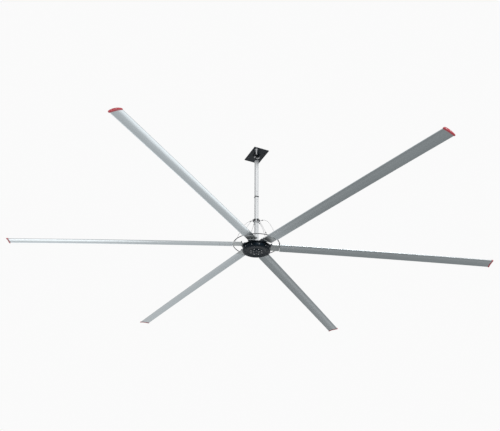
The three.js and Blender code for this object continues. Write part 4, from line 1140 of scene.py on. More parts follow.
def build_sweep_tree():
    tree, given, result = new_group("swept rod or rope", "GeometryNodeTree", {
        "Path": (GEOMETRY, None),
        "Radius": (FLOAT, 0.0025),
        "Sides": (INTEGER, 12),
        "Strands": (FLOAT, 0.0),
        "Strand Depth": (FLOAT, 0.0),
        "Turns per Metre": (FLOAT, 0.0),
        "Step": (FLOAT, 0.01),
        "Material": ("NodeSocketMaterial", None),
    }, {"Swept": GEOMETRY})
    path = add(tree, "GeometryNodeMeshToCurve", {0: given.outputs["Path"]})
    even = add(tree, "GeometryNodeResampleCurve", {
        "Curve": path.outputs[0], "Length": given.outputs["Step"]}, mode="LENGTH")
    run = add(tree, "GeometryNodeSplineParameter")
    lay = reckoned(tree, "MULTIPLY", run.outputs["Length"], given.outputs["Turns per Metre"])
    angle = reckoned(tree, "MULTIPLY", lay, math.tau)
    tilted = add(tree, "GeometryNodeSetCurveTilt", {"Curve": even.outputs[0], "Tilt": angle})
    section = add(tree, "GeometryNodeCurvePrimitiveCircle", {
        "Resolution": given.outputs["Sides"], "Radius": given.outputs["Radius"]})
    about = add(tree, "GeometryNodeSplineParameter")
    half = reckoned(tree, "MULTIPLY", given.outputs["Strands"], math.pi)
    phase = reckoned(tree, "MULTIPLY", about.outputs["Factor"], half)
    lobe = reckoned(tree, "ABSOLUTE", reckoned(tree, "SINE", phase))
    valley = reckoned(tree, "SUBTRACT", 1.0, lobe)
    depth = reckoned(tree, "MULTIPLY", valley, given.outputs["Strand Depth"])
    share = reckoned(tree, "SUBTRACT", 1.0, depth)
    place = add(tree, "GeometryNodeInputPosition")
    pinched = add(tree, "ShaderNodeVectorMath", {0: place.outputs[0], "Scale": share},
                  operation="SCALE")
    stranded = add(tree, "GeometryNodeSetPosition", {
        "Geometry": section.outputs[0], "Position": pinched.outputs[0]})
    skin = add(tree, "GeometryNodeCurveToMesh", {
        "Curve": tilted.outputs[0], "Profile Curve": stranded.outputs[0], "Fill Caps": True})
    smooth = add(tree, "GeometryNodeSetShadeSmooth", {
        "Geometry": skin.outputs[0], "Shade Smooth": True})
    finish_tree(tree, given, result, smooth.outputs[0])
    return tree


SWEEP_TREE = build_sweep_tree()
print("sweep tree has", len(SWEEP_TREE.nodes), "nodes")

# %% [markdown]
# The tree's carrier is a mesh of edges along each path. A path that ends where it starts is closed,
# so the ring has no seam, and several paths can share one carrier, as a rope's run and its two eyes
# do. The ring itself then needs only its sizes, which the frame gives.
# %% Safety ring


def line_mesh(name, paths):
    """Edges through each path's points. A path whose ends meet is closed."""
    points = []
    edges = []
    for path in paths:
        first = len(points)
        closed = (Vector(path[0]) - Vector(path[-1])).length < 1e-6
        kept = path[:-1] if closed else path
        points += [tuple(point) for point in kept]
        edges += [(first + i, first + i + 1) for i in range(len(kept) - 1)]
        if closed:
            edges.append((first + len(kept) - 1, first))
    mesh = bpy.data.meshes.new(name)
    mesh.from_pydata(points, edges, [])
    return mesh


def sweep(name, paths, body, slot, nodes=(), radius=0.0025, **sizes):
    """Rods or ropes swept along paths, as one piece on one body."""
    values = {"Radius": radius, "Material": FINISHES[slot]}
    values.update({label.replace("_", " "): value for label, value in sizes.items()})
    piece = grown(name, line_mesh(name, paths), SWEEP_TREE, values)
    settle(piece, body, slot, *nodes)


ring_low, ring_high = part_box("safety_ring")
RING_ROD = (ring_high.z - ring_low.z) / 2
RING_HEIGHT = (ring_high.z + ring_low.z) / 2
RING_RADIUS = ring_high.x - RING_ROD
ring_path = [(RING_RADIUS * math.cos(angle), RING_RADIUS * math.sin(angle), RING_HEIGHT)
             for angle in (*around(192), 0.0)]
sweep("safety_rod", [ring_path], "rotor", "dark_steel", ["safety_ring"], radius=RING_ROD, Sides=16,
      Step=0.0115)
print("safety ring radius", round(RING_RADIUS, 4), "height", round(RING_HEIGHT - ROOT, 4))

# %% [markdown]
# A bent strap holds the ring down on each arm. It is a flat strip that lies on the arm and wraps
# over the rod. A strip could be bent with a Curve modifier, but its middle line is only a straight
# foot and an arc, so the strip's section is lofted along that line, in the blade's own tilt.
# %% Ring straps
STRAP_CHORD = -0.022
STRAP_HALF = 0.011  # half its width
STRAP_THICK = 0.0022
STRAP_FIT = 0.2 * MM


def strap_shape():
    """One strap, on a blade that points along +X."""
    foot = ARM_HALF + STRAP_THICK / 2
    lift = (RING_HEIGHT - blade_point(RING_RADIUS, STRAP_CHORD, ARM_HALF).z) / math.cos(PITCH)
    reach = RING_ROD + STRAP_THICK / 2 + STRAP_FIT
    line = [(RING_RADIUS - 0.036, foot), (RING_RADIUS - 0.020, foot),
            (RING_RADIUS - reach - 0.0055, foot), (RING_RADIUS - reach - 0.0012, foot + 0.0016)]
    for i in range(15):
        angle = math.radians(180 - 17 * i)
        line.append((RING_RADIUS + reach * math.cos(angle), ARM_HALF + lift + reach * math.sin(angle)))
    loops = []
    for i, (radius, height) in enumerate(line):
        ahead = Vector(line[min(i + 1, len(line) - 1)]) - Vector(line[max(i - 1, 0)])
        normal = Vector((-ahead.y, ahead.x)).normalized() * (STRAP_THICK / 2)
        loops.append([blade_point(radius + normal.x * up, STRAP_CHORD + STRAP_HALF * across,
                                  height + normal.y * up)
                      for up, across in ((1, -1), (1, 1), (-1, 1), (-1, -1))])
    return loft(loops)


put("ring_straps", merged(*(moved(strap_shape(), faced(heading)) for heading in headings)), "rotor",
    "black_steel", sharp=30)
fasten("ring_strap_bolts", "rotor", "zinc_steel", hexagon_m8,
       [arm_seat(RING_RADIUS - 0.027, STRAP_CHORD, 1, ARM_HALF + STRAP_THICK + STRAP_FIT)], **EACH_ARM)

# %% [markdown]
# Six wire ropes hold the ring to a collar on the tube, and some hang slack. A simulated rope would
# settle anew at every run. Each is instead a smooth curve between two eyes, one round the rod and
# one round a pin in the collar, and its slack says how far the curve is drawn from a straight line.
# %% Rope routes
ROPE_LEAD = math.radians(-10)  # a rope's plane stands this far before its arm
ROPE_RADIUS = 0.0025
ROPE_SLACK = (0.95, 0.6, 0.45, 0.7, 0.3, 0.1)
ROPE_FIT = 0.2 * MM
COLLAR = ROOT + 0.415  # height of the collar's middle
PIN_REACH = 0.0515
PIN_RADIUS = 0.004
ROPE_START = Vector((0.0603, 0, COLLAR))
ROPE_END = Vector((RING_RADIUS, 0, RING_HEIGHT + 0.0088))
SLACK_NEAR = Vector((0.150, 0, 0.060))  # where a fully slack rope is drawn to, from either end
SLACK_FAR = Vector((-0.120, 0, 0.290))


def rope_route(slack, count=72):
    """A smooth curve from the collar down to the ring, in the plane of +X and +Z."""
    third = (ROPE_END - ROPE_START) / 3
    near = (ROPE_START + third).lerp(ROPE_START + SLACK_NEAR, slack)
    far = (ROPE_END - third).lerp(ROPE_END + SLACK_FAR, slack)
    route = []
    for i in range(count + 1):
        t = i / count
        route.append((1 - t) ** 3 * ROPE_START + 3 * t * (1 - t) ** 2 * near
                     + 3 * t * t * (1 - t) * far + t ** 3 * ROPE_END)
    return route


def cut_near(route, middle, reach):
    """The part of a route that starts where it is this far from a middle."""
    for i, point in enumerate(route):
        if (point - middle).length > reach:
            return route[i:]
    return route


def eye(middle, knot, radius, steps=24):
    """A drop-shaped loop from a knot round a rod and back, in the plane of +X and +Z."""
    to_knot = knot - middle
    spread = math.acos(radius / to_knot.length)
    toward = math.atan2(to_knot.z, to_knot.x)
    loop = [knot]
    for i in range(steps + 1):
        angle = toward + spread + (math.tau - 2 * spread) * i / steps
        loop.append(middle + radius * Vector((math.cos(angle), 0, math.sin(angle))))
    return loop


print("a rope spans", round((ROPE_END - ROPE_START).length, 3), "m")

# %% [markdown]
# A pressed sleeve closes each eye. It has rounded ends and two grooves from the press, so it is a
# loft of ovals of different size along the rope. The rope itself is six strands laid up with a
# twist, swept by the tree above.
# %% Ropes
SLEEVE_SHAPE = (  # share of the length, and share of the radius
    (0, 0.72), (0.05, 0.92), (0.12, 1), (0.3, 1), (0.34, 0.9), (0.38, 1),
    (0.62, 1), (0.66, 0.9), (0.7, 1), (0.88, 1), (0.95, 0.92), (1, 0.72),
)


def sleeve_shape(route, radius, length):
    """A sleeve over the first part of a route."""
    along = (route[3] - route[0]).normalized()
    across = Vector((0, 1, 0))
    side = along.cross(across)
    loops = []
    for share, swell in SLEEVE_SHAPE:
        middle = route[0] + along * length * share
        loops.append([middle + swell * radius * (1.25 * math.cos(angle) * side + math.sin(angle) * across)
                      for angle in around(20)])
    return loft(loops)


ring_centre = Vector((RING_RADIUS, 0, RING_HEIGHT))
pin_centre = Vector((PIN_REACH, 0, COLLAR))
low_sleeves = []
high_sleeves = []
for number, (heading, slack) in enumerate(zip(headings, ROPE_SLACK), 1):
    turn = faced(heading + ROPE_LEAD)
    route = cut_near(rope_route(slack), pin_centre, 0.024)
    route = cut_near(route[::-1], ring_centre, 0.030)
    paths = [route, eye(ring_centre, route[0], RING_ROD + ROPE_RADIUS + ROPE_FIT),
             eye(pin_centre, route[-1], PIN_RADIUS + ROPE_RADIUS + ROPE_FIT)]
    sweep(f"wire_rope_{number}", [[turn @ point for point in path] for path in paths], "rotor",
          "rope_steel", [f"tether_rope_{number}"], radius=ROPE_RADIUS, Sides=18, Strands=6.0,
          Strand_Depth=0.16, Turns_per_Metre=30.0, Step=0.0042)
    low_sleeves.append(moved(sleeve_shape(route, 0.0062, 0.034), turn))
    high_sleeves.append(moved(sleeve_shape(route[::-1], 0.0055, 0.026), turn))
put("rope_sleeves", merged(*low_sleeves), "rotor", "black_steel", sharp=40)
put("collar_sleeves", merged(*high_sleeves), "rotor", "dark_steel", sharp=40)

# %% [markdown]
# The ropes' collar turns with the rotor round a sleeve on the tube, which stands still. The collar
# is a turned ring with six forks, and a pin in each fork takes a rope's eye. One fork is modelled
# along +X from rounded cheeks, a pin and the pad that it is welded to, and is then turned about.
# %% Rope collar
FORK_ROOT = 0.041
FORK_END = 0.0573
FORK_HALF = 0.015  # half its height
CHEEK_STATIONS = ((0.0034, 0.0004), (0.0038, 0.0), (0.0062, 0.0), (0.0066, 0.0004))
PAD_STATIONS = ((0.0440, 0.0), (0.0462, 0.0), (0.0468, 0.0008))
PAD_HALF = (0.017, 0.0195)
COLLAR_HALF = 0.020
COLLAR_BORE = 0.0397
COLLAR_RADIUS = 0.0444


def cheek_shape(side):
    """One rounded cheek. Each station is a distance from the middle and how far it is drawn in."""
    loops = []
    for y, inset in CHEEK_STATIONS:
        foot, top, end = -FORK_HALF + inset, FORK_HALF - inset, FORK_END - inset
        flat = eased([(FORK_ROOT, foot), (end, foot, 0.007), (end, top, 0.007), (FORK_ROOT, top)],
                     0.001, 6)
        loops.append([(x, side * y, COLLAR + z) for x, z in flat])
    return loft(loops)


def pin_shape(head=0.0065, shank=0.0039):
    """A pin with a head at each end, laid across the fork."""
    half = [(0, 0.0085, 0), (head, 0.0085), (head, 0.0068), (shank, 0.0068, 0)]
    profile = [(radius, -height, *rest) for radius, height, *rest in half] + half[::-1]
    laid = Matrix.Translation((PIN_REACH, 0, COLLAR)) @ Matrix.Rotation(math.pi / 2, 4, "X")
    return moved(turned(eased(profile, 0.0005, 2), 20), laid)


def pad_shape():
    """The pad that a fork is welded to, wrapped a little round the collar."""
    wide, tall = PAD_HALF
    flat = eased([(-wide, -tall), (wide, -tall), (wide, tall), (-wide, tall)], 0.005, 4)
    loops = []
    for reach, inset in PAD_STATIONS:
        loop = []
        for y, z in flat:
            angle = (y - math.copysign(inset, y)) / PAD_STATIONS[0][0]
            loop.append((reach * math.cos(angle), reach * math.sin(angle),
                         COLLAR + z - math.copysign(inset, z)))
        loops.append(loop)
    return loft(loops)


def collar_shape(lip=0.006, rise=0.0008):
    """A ring with a low lip at its foot and at its top."""
    low, high = COLLAR - COLLAR_HALF, COLLAR + COLLAR_HALF
    edge = COLLAR_RADIUS - 0.0012
    wall = [(COLLAR_BORE, low), (edge, low), (edge, low + lip), (COLLAR_RADIUS, low + lip + rise),
            (COLLAR_RADIUS, high - lip - rise), (edge, high - lip), (edge, high), (COLLAR_BORE, high)]
    return turned(eased(wall, 0.0006), 72)


fork = merged(pad_shape(), cheek_shape(-1), cheek_shape(1), pin_shape())
put("rope_collar", collar_shape(), "rotor", "galvanised_steel", "tether_swivel", sharp=30)
put("collar_forks", merged(*(moved(fork, faced(heading + ROPE_LEAD)) for heading in headings)),
    "rotor", "dark_steel", sharp=30)

# %% [markdown]
# The still pieces that carry the turning ones get their small fasteners too. The tube is bolted
# through at its top, at its joint and in its flange. Its faces are flat and square to the axes, so
# each seat is simply a height on a face.
# %% Bolts of the tube
BACK = Vector((0, 1, 0))
TUBE_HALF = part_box("upper_tube")[1].x
TUBE_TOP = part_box("upper_tube")[1].z
BAND_LOW, BAND_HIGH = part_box("joint_band")
JOINT = (BAND_LOW.z + BAND_HIGH.z) / 2
FLANGE_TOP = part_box("tube_flange")[0].z + 0.010
SOCKET_HALF = 0.0333  # half across the flange's square socket

heights = [JOINT - 0.095, JOINT - 0.050, JOINT + 0.050, JOINT + 0.095, TUBE_TOP - 0.020, TUBE_TOP - 0.060]
fasten("flange_bolts", "drop_tube", "zinc_steel", hexagon_m10,
       [((0.0449, y, FLANGE_TOP), UP) for y in (-0.026, 0.026)], 4)
fasten("tube_screws", "drop_tube", "galvanised_steel", socket_m8,
       [((0, side * TUBE_HALF, height), side * BACK)
        for rows in (heights[:4], heights[4:]) for side in (-1, 1) for height in rows])
fasten("band_bolts", "drop_tube", "black_steel", socket_m6,
       [((side * BAND_HIGH.x, 0, JOINT), side * OUT) for side in (-1, 1)])
fasten("flange_set_screws", "drop_tube", "zinc_steel", socket_m8,
       [((SOCKET_HALF, 0, FLANGE_TOP + 0.024), OUT)], 4)

# %% [markdown]
# The journal sleeve and its stop ring sit on the square tube, and the collar turns on the sleeve.
# A turned ring with a round bore would float round the tube, so the sleeve's bore follows the
# square, ray by ray. Set screws hold the stop ring, so that the collar can't climb the tube.
# %% Journal
journal_low, journal_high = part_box("tether_journal")
stop_low, stop_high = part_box("journal_stop")
JOURNAL_RADIUS = 0.0382
JOURNAL_LIP = journal_high.x - 0.4 * MM
JOURNAL_SIDES = 96
TUBE_FIT = 0.3 * MM


def journal_shape():
    """A lathe-turned outside on a square bore, joined ray by ray."""
    foot, top = journal_low.z, journal_high.z
    outer = eased([(JOURNAL_LIP - 0.0004, foot), (JOURNAL_LIP, foot), (JOURNAL_LIP, foot + 0.0077),
                   (JOURNAL_RADIUS, foot + 0.0080), (JOURNAL_RADIUS, top),
                   (JOURNAL_RADIUS - 0.0008, top)], 0.0008)
    bore = []
    for angle in around(JOURNAL_SIDES):
        flat = (TUBE_HALF + TUBE_FIT) / max(abs(math.cos(angle)), abs(math.sin(angle)))
        reach = min(flat, JOURNAL_RADIUS - 0.002)
        bore.append((reach * math.cos(angle), reach * math.sin(angle)))
    walls = [[(radius * math.cos(angle), radius * math.sin(angle), z)
              for angle in around(JOURNAL_SIDES)] for radius, z in outer]
    return loft([[(x, y, foot) for x, y in bore], *walls, [(x, y, top) for x, y in bore]], closed=True)


stop_bore = JOURNAL_RADIUS + TUBE_FIT
stop = [(stop_bore, stop_low.z), (JOURNAL_LIP, stop_low.z), (JOURNAL_LIP, stop_high.z),
        (stop_bore, stop_high.z)]
put("journal_sleeve", journal_shape(), "drop_tube", "galvanised_steel", "tether_journal", sharp=30)
put("stop_ring", turned(eased(stop, 0.001)), "drop_tube", "galvanised_steel", "journal_stop", sharp=30)
fasten("stop_ring_screws", "drop_tube", "zinc_steel", socket_m5,
       [((JOURNAL_LIP - SUNK, 0, (stop_low.z + stop_high.z) / 2), OUT)], 4, math.radians(45))
print("journal radius", JOURNAL_RADIUS, "lip", round(JOURNAL_LIP, 4))

# %% [markdown]
# The drop tube is two lengths of cold-rolled square tube with rounded corners, joined inside by a
# sleeve. The carried pieces' corners are a few flats each, and a Bevel on them would round the rims
# as much as the corners. So both lengths, and the black band over their joint, are lofted again
# here with smooth corners and finely eased rims.
# %% Drop tube
TUBE_WALL = 0.003
TUBE_CORNER = 0.004
RIM_EASE = 0.6 * MM


def square_loop(side_x, side_y, corner, height, steps=7):
    flat = eased([(-side_x / 2, -side_y / 2), (side_x / 2, -side_y / 2),
                  (side_x / 2, side_y / 2), (-side_x / 2, side_y / 2)], corner, steps)
    return [(point.x, point.y, height) for point in flat]


def square_tube(side, low, high):
    """A hollow square tube along Z. Its bore's corners are sharper than its outer ones."""
    rim = side - 2 * RIM_EASE
    bore = side - 2 * TUBE_WALL
    stations = ((rim, TUBE_CORNER - RIM_EASE, low), (side, TUBE_CORNER, low + RIM_EASE),
                (side, TUBE_CORNER, high - RIM_EASE), (rim, TUBE_CORNER - RIM_EASE, high),
                (bore, TUBE_CORNER - TUBE_WALL, high), (bore, TUBE_CORNER - TUBE_WALL, low))
    return loft([square_loop(wide, wide, corner, z) for wide, corner, z in stations], closed=True)


for node, slot in (("upper_tube", "galvanised_steel"), ("lower_tube", "galvanised_steel"),
                   ("joint_band", "black_steel")):
    low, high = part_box(node)
    put(f"{node}_section", square_tube(2 * high.x, low.z, high.z), "drop_tube", slot, node)
    print(node, "length", round(high.z - low.z, 4), "side", round(2 * high.x, 4))

# %% [markdown]
# The universal joint is two welded clevises with a block between them. Each ear is a thick plate
# with a round end, bored for its pivot. A Boolean could cut the bore, but leaves long thin faces.
# Drawn as rays from the bore's middle, the round end, the straight flanks and the bore share one
# ring of points.
# %% Clevis ears
UPPER_PIVOT = joints["swing_x"]["pos_m"][2]
LOWER_PIVOT = joints["swing_y"]["pos_m"][2]
EAR_INNER = 0.0205
EAR_THICK = 0.008
EAR_RADIUS = 0.019
EAR_EASE = 0.7 * MM
PIVOT_BORE = 0.0083


def ear_shape(root, sides=96):
    """An ear about a pivot on the X axis. Its root lies at the given height, above or below."""
    way = -math.copysign(1, root)
    corner = math.atan2(abs(root), EAR_RADIUS)
    angles = sorted([*around(sides), math.pi + corner, math.tau - corner])

    def reach(angle):
        if angle <= math.pi:
            return EAR_RADIUS
        return min(EAR_RADIUS / max(abs(math.cos(angle)), 1e-6),
                   abs(root) / max(abs(math.sin(angle)), 1e-6))

    def outside(x, inset):
        return [(x, (reach(angle) - inset) * math.cos(angle),
                 way * (reach(angle) - inset) * math.sin(angle)) for angle in angles]

    def bore(x):
        return [(x, PIVOT_BORE * math.cos(angle), way * PIVOT_BORE * math.sin(angle))
                for angle in angles]

    half = EAR_THICK / 2
    return loft([bore(-half), outside(-half, EAR_EASE), outside(EAR_EASE - half, 0),
                 outside(half - EAR_EASE, 0), outside(half, EAR_EASE), bore(half)], closed=True)


print("pivots at", round(UPPER_PIVOT, 4), round(LOWER_PIVOT, 4), "ear reach", EAR_RADIUS)

# %% [markdown]
# A clevis is a plate with two such ears, welded on by their roots. The upper one hangs from the
# ceiling plate. The lower one stands on a square plug in the drop tube, turned a quarter round. One
# helper makes both, because only the side that the pivot is on and the ears' heading differ.
# %% Clevises
CLEVIS_PLATE = 0.008
CLEVIS_EASE = 0.8 * MM
CLEVIS_CORNER = 0.0035
CAP_BELOW_PIVOT = 0.026
WELD = 0.001  # how deep an ear's root sits in its plate


def clevis_shape(corner_point, high, pivot, along_x):
    """A plate under a height, as wide as its carried piece, with two ears at a pivot's height."""
    side_x, side_y = 2 * corner_point.x, 2 * corner_point.y
    low = high - CLEVIS_PLATE
    plate = loft([
        square_loop(side_x - 2 * CLEVIS_EASE, side_y - 2 * CLEVIS_EASE, 0.003, low),
        square_loop(side_x, side_y, CLEVIS_CORNER, low + CLEVIS_EASE),
        square_loop(side_x, side_y, CLEVIS_CORNER, high - CLEVIS_EASE),
        square_loop(side_x - 2 * CLEVIS_EASE, side_y - 2 * CLEVIS_EASE, 0.003, high),
    ])
    root = (high - WELD if pivot > high else low + WELD) - pivot
    turn = faced(0 if along_x else math.pi / 2)
    ears = [moved(ear_shape(root), turn @ Matrix.Translation((x, 0, pivot)))
            for x in (-EAR_INNER - EAR_THICK / 2, EAR_INNER + EAR_THICK / 2)]
    return merged(plate, *ears)


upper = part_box("upper_clevis")[1]
lower_foot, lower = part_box("tube_clevis")
cap_top = LOWER_PIVOT - CAP_BELOW_PIVOT
plug_side = 2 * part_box("joint_sleeve")[1].x
plug = loft([square_loop(plug_side, plug_side, 0.004, z) for z in (lower_foot.z, cap_top - 0.004)])
put("upper_clevis_forging", clevis_shape(upper, upper.z, UPPER_PIVOT, True), "ceiling_mount",
    "black_steel", "upper_clevis")
put("tube_clevis_forging", merged(clevis_shape(lower, cap_top, LOWER_PIVOT, False), plug),
    "drop_tube", "black_steel", "tube_clevis")
print("clevis ears", 2 * EAR_INNER, "apart, plug foot", round(lower_foot.z, 4))

# %% [markdown]
# The block between the clevises carries both pivots, one across the other. A plain cube would strike
# the plates as it swings. So its foot is rounded about the lower pivot and its top about the upper
# one, as a stack of loops whose width or depth shrinks along a circle.
# %% Link block


def link_shape(half=0.020, corner=0.0015):
    """A block whose foot is rounded about the lower pivot, and whose top about the upper one."""
    steps = [half * math.sin(math.pi / 2 * i / 16) for i in range(17)]
    heights = [LOWER_PIVOT - step for step in reversed(steps)] + [UPPER_PIVOT + step for step in steps]

    def width_at(past):
        """The block's width where it is this far past a pivot."""
        return 2 * max(math.sqrt(max(half * half - past * past, 0)), 0.001)

    loops = []
    for height in heights:
        width = width_at(max(LOWER_PIVOT - height, 0))
        depth = width_at(max(height - UPPER_PIVOT, 0))
        loops.append(square_loop(width, depth, min(corner, 0.4 * width, 0.4 * depth), height, 3))
    return loft(loops)


put("link_forging", link_shape(), "link", "dark_steel", "link_block")

# %% [markdown]
# The supply cable reaches the fan in a short steel conduit under the ceiling plate, with a coupling
# at the plate's edge, a strap that holds it and a hexagonal gland at its end. They could be placed
# piece by piece, but all lie along one slanting line. So each is made along +X and carried onto
# that line by one matrix.
# %% Conduit and its round pieces
PLATE_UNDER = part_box("ceiling_plate")[0].z
CONDUIT_HEADING = math.radians(64) - math.pi
CONDUIT_RADIUS = 0.010
CONDUIT_BORE = 0.0085
SOCKET_INNER = CONDUIT_RADIUS + 0.0003
SOCKET_OUTER = SOCKET_INNER + 0.0027
SOCKET_HALF_LENGTH = 0.015
CONDUIT_DROP = SOCKET_OUTER + 0.0023  # from the plate's underside to the conduit's middle line
GLAND_LENGTH = 0.014
GLAND_OVERHANG = GLAND_LENGTH / 3  # how much of it stands past the conduit's end
conduit_line = Matrix.Translation((0, 0, PLATE_UNDER - CONDUIT_DROP)) @ faced(CONDUIT_HEADING)
low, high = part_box("supply_conduit")
slope_x, slope_y = abs(math.cos(CONDUIT_HEADING)), abs(math.sin(CONDUIT_HEADING))
run_start = (-high.x + CONDUIT_RADIUS * slope_y) / slope_x
run_end = (-low.x - CONDUIT_RADIUS * slope_y) / slope_x


def pipe(outer, inner, start, end, ease):
    """A hollow round piece along the conduit's line."""
    profile = eased([(inner, start), (outer, start), (outer, end), (inner, end)], ease, 3)
    return moved(turned(profile, 48), conduit_line @ Matrix.Rotation(math.pi / 2, 4, "Y"))


def gland_shape(start, end, chamfer=0.0012):
    """A hexagonal gland with chamfered faces, bored for the conduit."""
    def ring_at(place, radius, six_sided=False):
        points = []
        for angle in around(48):
            bent = math.cos(angle % (math.pi / 3) - math.pi / 6) if six_sided else 1
            points.append((place, radius / bent * math.cos(angle), radius / bent * math.sin(angle)))
        return points

    rim = 0.96 * SOCKET_OUTER
    shape = loft([
        ring_at(start, SOCKET_INNER), ring_at(start, rim),
        ring_at(start + chamfer, SOCKET_OUTER, True), ring_at(end - chamfer, SOCKET_OUTER, True),
        ring_at(end, rim), ring_at(end, SOCKET_INNER),
    ], closed=True)
    return moved(shape, conduit_line)


print("conduit from", round(run_start, 4), "to", round(run_end, 4), "m, drop", round(CONDUIT_DROP, 4))

# %% [markdown]
# The strap is bent from flat bar: two feet, two legs and a half turn over the conduit. A curve with
# a bevel could follow that path, but would twist at its bends. Here each station of the path also
# holds the way out from the bar, so its thickness always points the right way.
# %% Conduit strap, and placing the run
BAR_WIDTH = 0.016
BAR_THICK = 0.0024
STRAP_BACK = 0.021  # from the coupling's inner end to the strap's middle
TOE_SCREW = 0.0205


def bar_strap(middle, toe=0.026, bend=0.003):
    """A flat bar bent over the conduit. Its path holds places and the way out from the bar."""
    round_at = SOCKET_INNER + 0.0002 + BAR_THICK / 2
    foot = CONDUIT_DROP - 0.0003 - BAR_THICK / 2
    path = [(toe, foot, 0, 1)]
    for i in range(7):
        angle = math.pi / 2 * i / 6
        path.append((round_at + bend - bend * math.sin(angle), foot - bend + bend * math.cos(angle),
                     math.sin(-angle), math.cos(angle)))
    leg = len(path)
    for i in range(25):
        angle = math.pi * i / 24
        path.append((round_at * math.cos(angle), -round_at * math.sin(angle),
                     -math.cos(angle), math.sin(angle)))
    path += [(-y, z, -out_y, out_z) for y, z, out_y, out_z in reversed(path[:leg])]
    wide, thick = BAR_WIDTH / 2, BAR_THICK / 2
    edge = eased([(-wide, -thick), (wide, -thick), (wide, thick), (-wide, thick)], 0.0005, 2)
    loops = [[(middle + p.x, y + p.y * out_y, z + p.y * out_z) for p in edge]
             for y, z, out_y, out_z in path]
    return moved(loft(loops), conduit_line)


strap_middle = run_end - SOCKET_HALF_LENGTH - STRAP_BACK
for name, node, shape in (
        ("conduit_pipe", "supply_conduit",
         pipe(CONDUIT_RADIUS, CONDUIT_BORE, run_start, run_end, 0.0004)),
        ("conduit_socket", "conduit_coupling",
         pipe(SOCKET_OUTER, SOCKET_INNER, run_end - SOCKET_HALF_LENGTH, run_end + SOCKET_HALF_LENGTH,
              0.0009)),
        ("gland_nut", "conduit_gland",
         gland_shape(run_start - GLAND_OVERHANG, run_start + GLAND_LENGTH - GLAND_OVERHANG)),
        ("conduit_strap", "conduit_saddle", bar_strap(strap_middle))):
    put(name, shape, "ceiling_mount", "zinc_steel", node)
toe_seats = [conduit_line @ Vector((strap_middle, y, CONDUIT_DROP - BAR_THICK - 0.0003))
             for y in (-TOE_SCREW, TOE_SCREW)]
fasten("strap_screws", "ceiling_mount", "zinc_steel", socket_m5, [(seat, DOWN) for seat in toe_seats])
print("strap screws at", [[round(place, 3) for place in seat] for seat in toe_seats])

# %% [markdown]
# The anchors and the two pivot bolts are whole bolts: washer, hexagon head, shank, and a thread
# where one shows. A cut thread winds, but at a step's distance a row of rings looks the same and
# stays a simple turned profile. A pivot bolt ends in a slotted nut with a split pin, because it must
# never loosen while the fan sways. Each replaces its plain carried piece.
# %% Bolt and nut shapes


def bolt_shape(diameter, length, thread=0.0):
    """A bolt whose head seats at the origin, points up +Z, and whose shank runs down."""
    radius = diameter / 2
    shank = radius - 0.0002
    pitch = 0.14 * diameter
    rungs = int(thread / pitch)
    profile = [(0, 0.0), (shank, 0.0)]
    for i in range(rungs):
        z = -(length - 0.001 - pitch * (rungs - i))
        profile += [(shank, z + pitch * 0.1), (radius * 0.9, z - pitch * 0.35)]
    profile += [(radius * 0.92, 0.001 - length), (radius * 0.8, -length), (0, -length)]
    return merged(hexagon_head(diameter), turned(profile, 24))


def nut_tooth(start, end, across, bore, foot, height):
    """One tooth of a slotted nut, between two angles."""
    loops = []
    arc = [start + (end - start) * k / 5 for k in range(6)]
    for z, grow in ((foot, 0.0), (height - 0.0006, 0.0), (height, -0.0006)):
        rim = [((across * 0.455 + grow) * math.cos(a), (across * 0.455 + grow) * math.sin(a), z)
               for a in arc]
        loops.append(rim + [(bore * math.cos(a), bore * math.sin(a), z) for a in reversed(arc)])
    return loft(loops)


def slotted_nut_shape(diameter):
    """A nut on its washer with six slots across its top, and a split pin through one pair."""
    across = 1.55 * diameter
    height = 0.8 * diameter + 0.0025
    disc = 1.25 * diameter
    shapes = [loft([
        circle(diameter * 0.52, 0), circle(disc - 0.0004, 0), circle(disc, 0.0004),
        circle(disc, 0.0021), circle(disc - 0.0004, 0.0025), hexagon(across * 0.97, 0.0026),
        hexagon(across, 0.0031), hexagon(across, height * 0.62, 0.3),
        circle(across * 0.47, height * 0.66), circle(diameter * 0.52, height * 0.66),
    ], closed=True)]
    for i in range(6):
        shapes.append(nut_tooth(math.tau * (i + 0.2) / 6, math.tau * (i + 0.8) / 6, across,
                                diameter * 0.53, height * 0.64, height))
    pin = turned([(0, -across * 0.62), (0.0013, -across * 0.62), (0.0013, across * 0.6),
                  (0, across * 0.6)], 12)
    laid = Matrix.Translation((0, 0, height * 0.83)) @ Matrix.Rotation(math.pi / 2, 4, "Y")
    return merged(*shapes, moved(pin, laid))


print("a pivot nut has", len(slotted_nut_shape(0.016)[1]), "faces")

# %% [markdown]
# A bolt is made upright at the origin and then stood on its seat, with its head along the way that
# the seat faces. Where each one seats is read from the carried piece that it replaces.
# %% Whole bolts
ANCHOR_DIAMETER = 0.012
PIVOT_DIAMETER = 0.016
PIVOT_THREAD = 0.018
PIVOT_BEYOND = 0.0208  # how far a pivot bolt reaches past the second ear, through its nut


def stand(name, node, body, slot, shape, place, direction):
    """Puts a shape on a place, with its +Z along a direction."""
    turn = Vector(direction).to_track_quat("Z", "Y").to_matrix().to_4x4()
    put(name, moved(shape, Matrix.Translation(place) @ turn), body, slot, node, sharp=30)


for number in range(1, 5):
    low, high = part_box(f"anchor_bolt_{number}")
    middle = (low + high) / 2
    stand(f"anchor_{number}", f"anchor_bolt_{number}", "ceiling_mount", "dark_steel",
          bolt_shape(ANCHOR_DIAMETER, -PLATE_UNDER - 0.0005),
          (middle.x, middle.y, PLATE_UNDER - 0.0003), DOWN)

